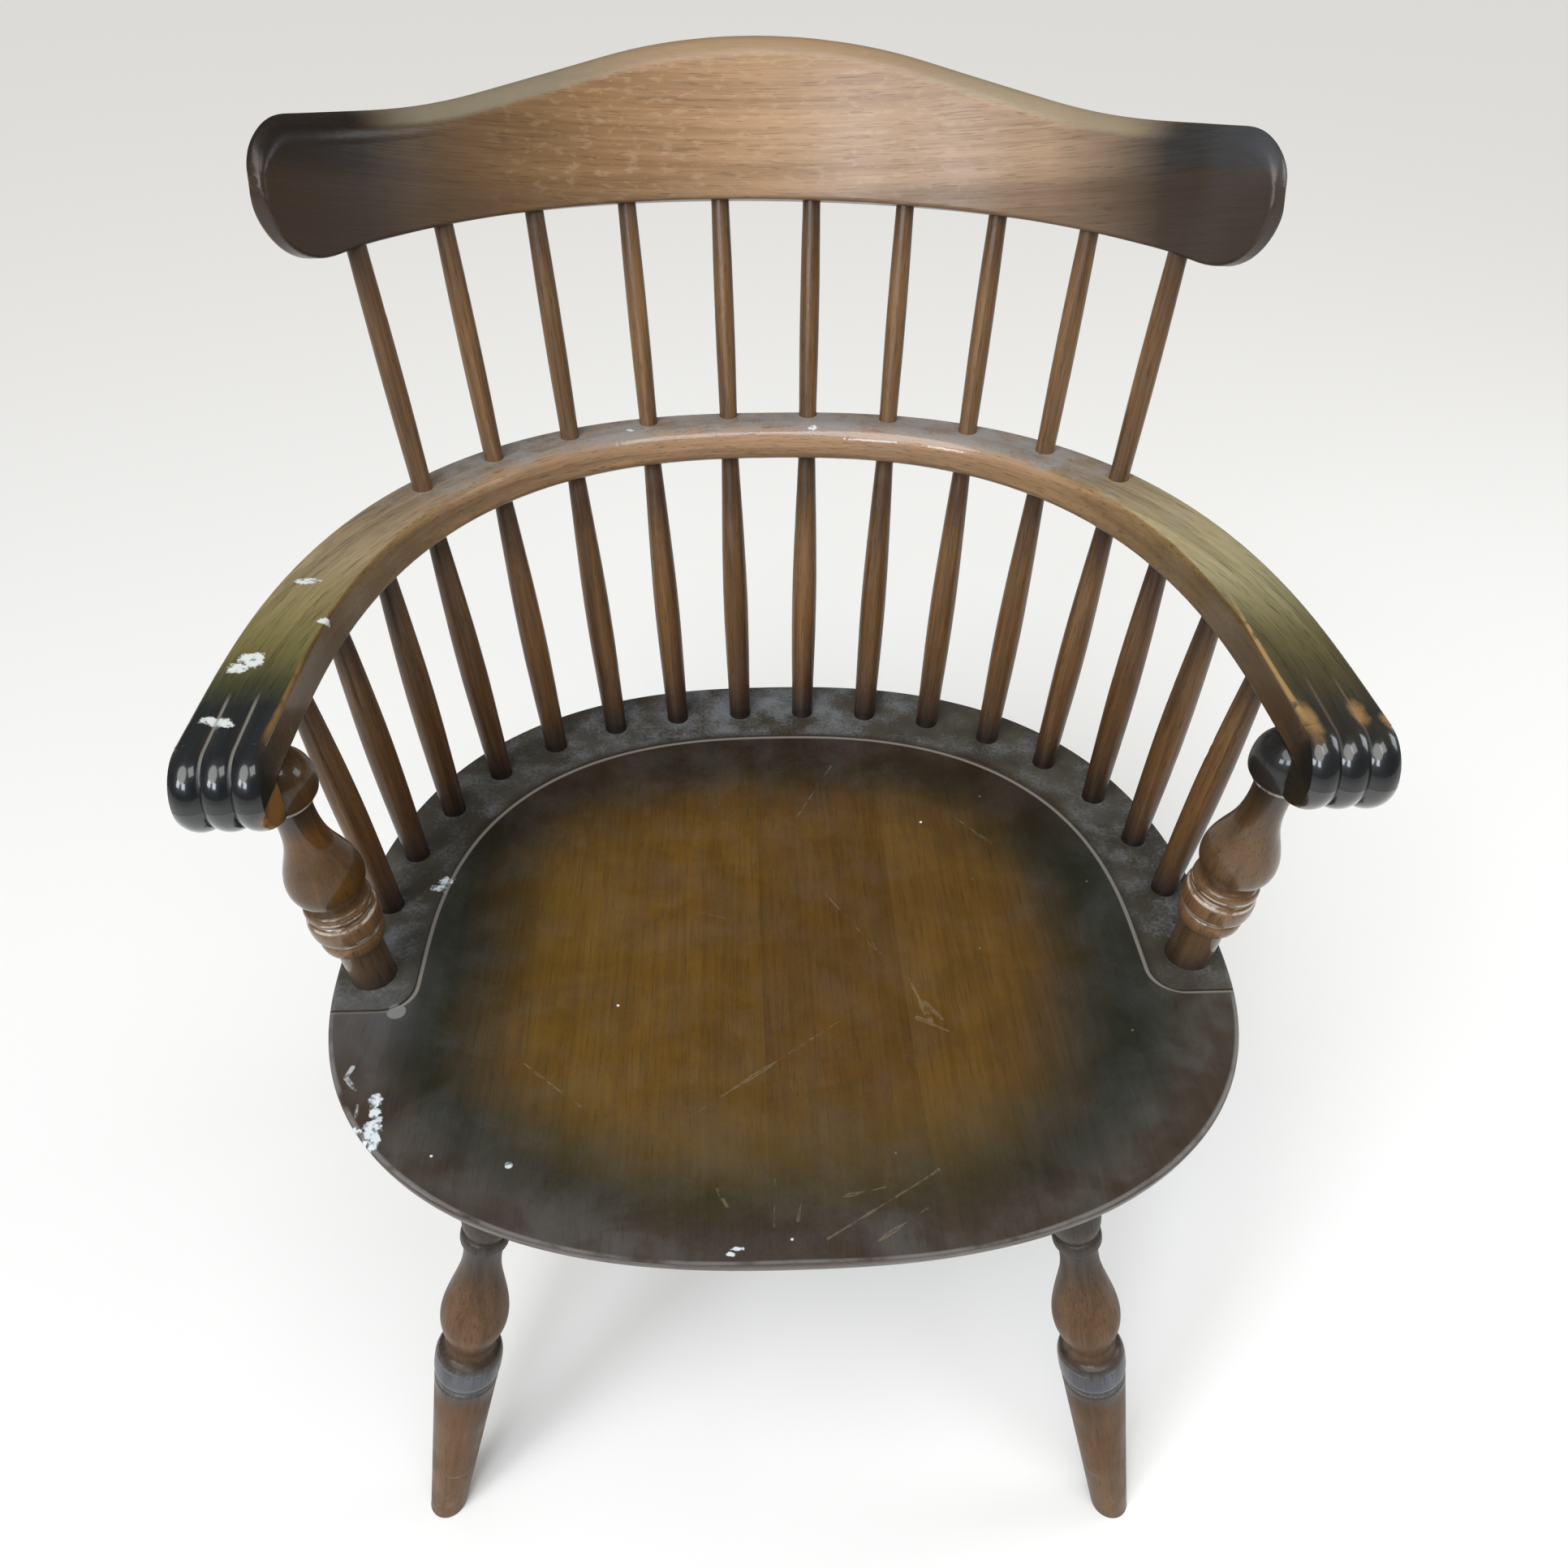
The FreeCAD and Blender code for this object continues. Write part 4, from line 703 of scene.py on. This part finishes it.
def leg_material(node):
    made, n, place, _ = material(f"{node}_varnish")
    line = own_line(n, node, place)
    x, y, z = n.split(line)
    seed = 0.19 * (1 + sorted(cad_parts).index(node))
    grain = n.use("wood grain", Coordinate=n.join(n.math("ADD", x, seed), y, z), Coarseness=1.1)
    # Colour along the leg; the ring at about 0.17 to 0.19 m is tinted blue-grey, which is a painted sheen
    # over a dark stain.
    plain = n.ramp(z, 0.0, 0.44, [(0.0, (0.102, 0.057, 0.024)), (0.045, (0.100, 0.052, 0.017)),
                                  (0.10, (0.094, 0.043, 0.010)), (0.150, (0.082, 0.038, 0.010)),
                                  (0.165, (0.048, 0.034, 0.024)), (0.170, (0.060, 0.064, 0.072)),
                                  (0.190, (0.074, 0.080, 0.096)), (0.197, (0.060, 0.044, 0.032)),
                                  (0.210, (0.104, 0.054, 0.023)), (0.255, (0.106, 0.058, 0.026)),
                                  (0.288, (0.058, 0.038, 0.023)), (0.304, (0.046, 0.042, 0.042)),
                                  (0.318, (0.054, 0.044, 0.036)), (0.360, (0.036, 0.029, 0.025))])
    colour = grained(n, grain, plain, (1.3, 1.25, 1.2), (0.62, 0.58, 0.55), 0.8, 0.55)
    # Pale bands at the ring edges: partly wear, partly painted highlights.
    ring_wear_and_highlight = banded(n, z, [(0.061, 0.0012), (0.169, 0.0012), (0.192, 0.0010), (0.305, 0.0009)])
    ring_wear_and_highlight = n.math("MULTIPLY", ring_wear_and_highlight, n.fade(n.noise(place, 90.0, 3.0, 0.6), 0.4, 0.6))
    colour = n.mix(n.math("MULTIPLY", ring_wear_and_highlight, 0.45), colour, (0.20, 0.17, 0.15))
    scuff = n.math("MULTIPLY", n.fade(z, 0.06, 0.0), n.fade(n.noise(place, 60.0, 4.0, 0.65), 0.45, 0.62))
    colour = n.mix(n.math("MULTIPLY", scuff, 0.5), colour, (0.20, 0.14, 0.09))
    rough = n.blend(n.fade(n.noise(place, 30.0, 3.0), 0.3, 0.7), 0.38, 0.56)
    rough = n.math("SUBTRACT", rough, n.math("MULTIPLY", n.fade(n.math("ABSOLUTE", n.math(
        "SUBTRACT", z, 0.182)), 0.03, 0.012), 0.20))
    height = uneven(n, place, grain["Streak"], 0.35, 40.0, 3.0, 0.5)
    varnished(n, colour, rough, height, coat=0.08, coat_roughness=0.2, specular=0.15)
    return made


def stretcher_material(node):
    made, n, place, normal = material(f"{node}_varnish")
    line = own_line(n, node, place)
    x, y, z = n.split(line)
    seed = 0.33 * (1 + sorted(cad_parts).index(node))
    grain = n.use("wood grain", Coordinate=n.join(n.math("ADD", x, seed), y, z), Coarseness=0.9)
    colour = grained(n, grain, (0.085, 0.046, 0.022), (1.3, 1.25, 1.2), (0.58, 0.55, 0.52), 0.7, 0.55)
    dust = n.use("settled dust", Coordinate=place, Normal=normal, Cover=0.45)["Mask"]
    colour = n.mix(n.math("MULTIPLY", dust, 0.5), colour, (0.16, 0.14, 0.12))
    rough = n.math("ADD", n.blend(n.fade(n.noise(place, 40.0, 3.0), 0.3, 0.7), 0.36, 0.5),
                   n.math("MULTIPLY", dust, 0.3))
    height = uneven(n, place, grain["Streak"], 0.35, 40.0, 3.0, 0.4)
    varnished(n, colour, rough, height, coat=0.15, coat_roughness=0.25)
    return made


def dress_all():
    seat, bow, knuckle, crest = seat_material(), bow_material(), knuckle_material(), crest_material()
    for node in sorted(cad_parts):
        if node.startswith("seat_board"):
            dress(node, seat)
        elif node == "arm_bow":
            dress(node, bow)
        elif node.startswith("knuckle"):
            dress(node, knuckle)
        elif node == "crest_rail":
            dress(node, crest)
        elif "spindle" in node:
            dress(node, spindle_material(node, node.startswith("back")))
        elif node.startswith("arm_post"):
            dress(node, post_material(node))
        elif node.startswith("leg"):
            dress(node, leg_material(node))
        else:
            dress(node, stretcher_material(node))


def aimed(lamp, place, target):
    holder = bpy.data.objects.new(lamp.name, lamp)
    holder.location = place
    holder.rotation_euler = (Vector(target) - Vector(place)).to_track_quat("-Z", "Y").to_euler()
    bpy.context.scene.collection.objects.link(holder)


def studio():
    bpy.ops.mesh.primitive_plane_add(size=FLOOR_SIZE)
    floor = bpy.context.object
    floor.name = "studio_floor"
    made, n, _, _ = material("studio_floor")
    shader = n.add("ShaderNodeBsdfPrincipled")
    shader.inputs["Base Color"].default_value = (0.80, 0.79, 0.77, 1.0)
    shader.inputs["Roughness"].default_value = 0.9
    shader.inputs["Specular IOR Level"].default_value = 0.1
    end = n.add("ShaderNodeOutputMaterial")
    n.put(end.inputs["Surface"], shader.outputs[0])
    floor.data.materials.append(made)

    world = bpy.data.worlds.new("studio")
    bpy.context.scene.world = world
    world.use_nodes = True
    w = Nodes(world.node_tree)
    world.node_tree.nodes.clear()
    path = w.add("ShaderNodeLightPath").outputs
    around = w.blend(path["Is Glossy Ray"], SKY_LIGHT, SKY_IN_GLOSS)
    sky = w.add("ShaderNodeBackground")
    w.put(sky.inputs["Color"], (0.98, 0.99, 1.0))
    w.put(sky.inputs["Strength"], w.blend(path["Is Camera Ray"], around, SKY_SEEN))
    end = w.add("ShaderNodeOutputWorld")
    w.put(end.inputs["Surface"], sky.outputs[0])

    daylight = bpy.data.lights.new("daylight", "SUN")
    daylight.energy = DAYLIGHT
    daylight.angle = DAYLIGHT_SPREAD
    daylight.color = (1.0, 0.985, 0.96)
    aimed(daylight, (-1.0, -1.5, 2.6), (0.0, 0.0, 0.0))
    for name, place, target, width, energy, colour in (
            ("left_pane", (-1.75, -1.85, 2.0), (0.0, 0.0, 0.6), 0.62, 19.0, (0.82, 0.91, 1.0)),
            ("right_pane", (-0.75, -2.25, 2.0), (0.0, 0.0, 0.6), 0.62, 19.0, (0.82, 0.91, 1.0)),
            ("ceiling", (0.5, -1.0, 2.7), (0.0, 0.0, 0.4), 0.9, 14.0, (0.95, 0.98, 1.0)),
            ("right_window", (2.2, 0.2, 1.7), (0.0, 0.0, 0.5), 0.9, 12.0, (0.90, 0.95, 1.0))):
        lamp = bpy.data.lights.new(name, "AREA")
        lamp.shape = "SQUARE"
        lamp.size = width
        lamp.energy = energy
        lamp.color = colour
        aimed(lamp, place, target)


def photograph_camera():
    yaw, pitch, roll = CAMERA_YAW, CAMERA_PITCH, CAMERA_ROLL
    ahead = Vector((math.sin(yaw) * math.cos(pitch), math.cos(yaw) * math.cos(pitch), -math.sin(pitch)))
    right = Vector((math.cos(yaw), -math.sin(yaw), 0.0))
    up = right.cross(ahead)
    turned_right = right * math.cos(roll) + up * math.sin(roll)
    turned_up = up * math.cos(roll) - right * math.sin(roll)
    data = bpy.data.cameras.new("photograph")
    data.sensor_width = 36.0
    data.lens = CAMERA_LENS
    data.shift_x, data.shift_y = CAMERA_SHIFT
    data.clip_start = 0.02
    camera = bpy.data.objects.new("photograph", data)
    turn = Matrix((turned_right, turned_up, -ahead)).transposed()
    camera.matrix_world = Matrix.Translation(CAMERA_PLACE) @ turn.to_4x4()
    bpy.context.scene.collection.objects.link(camera)
    bpy.context.scene.camera = camera


build_effects()
dress_all()
studio()
photograph_camera()
bpy.context.scene.view_settings.view_transform = "Standard"
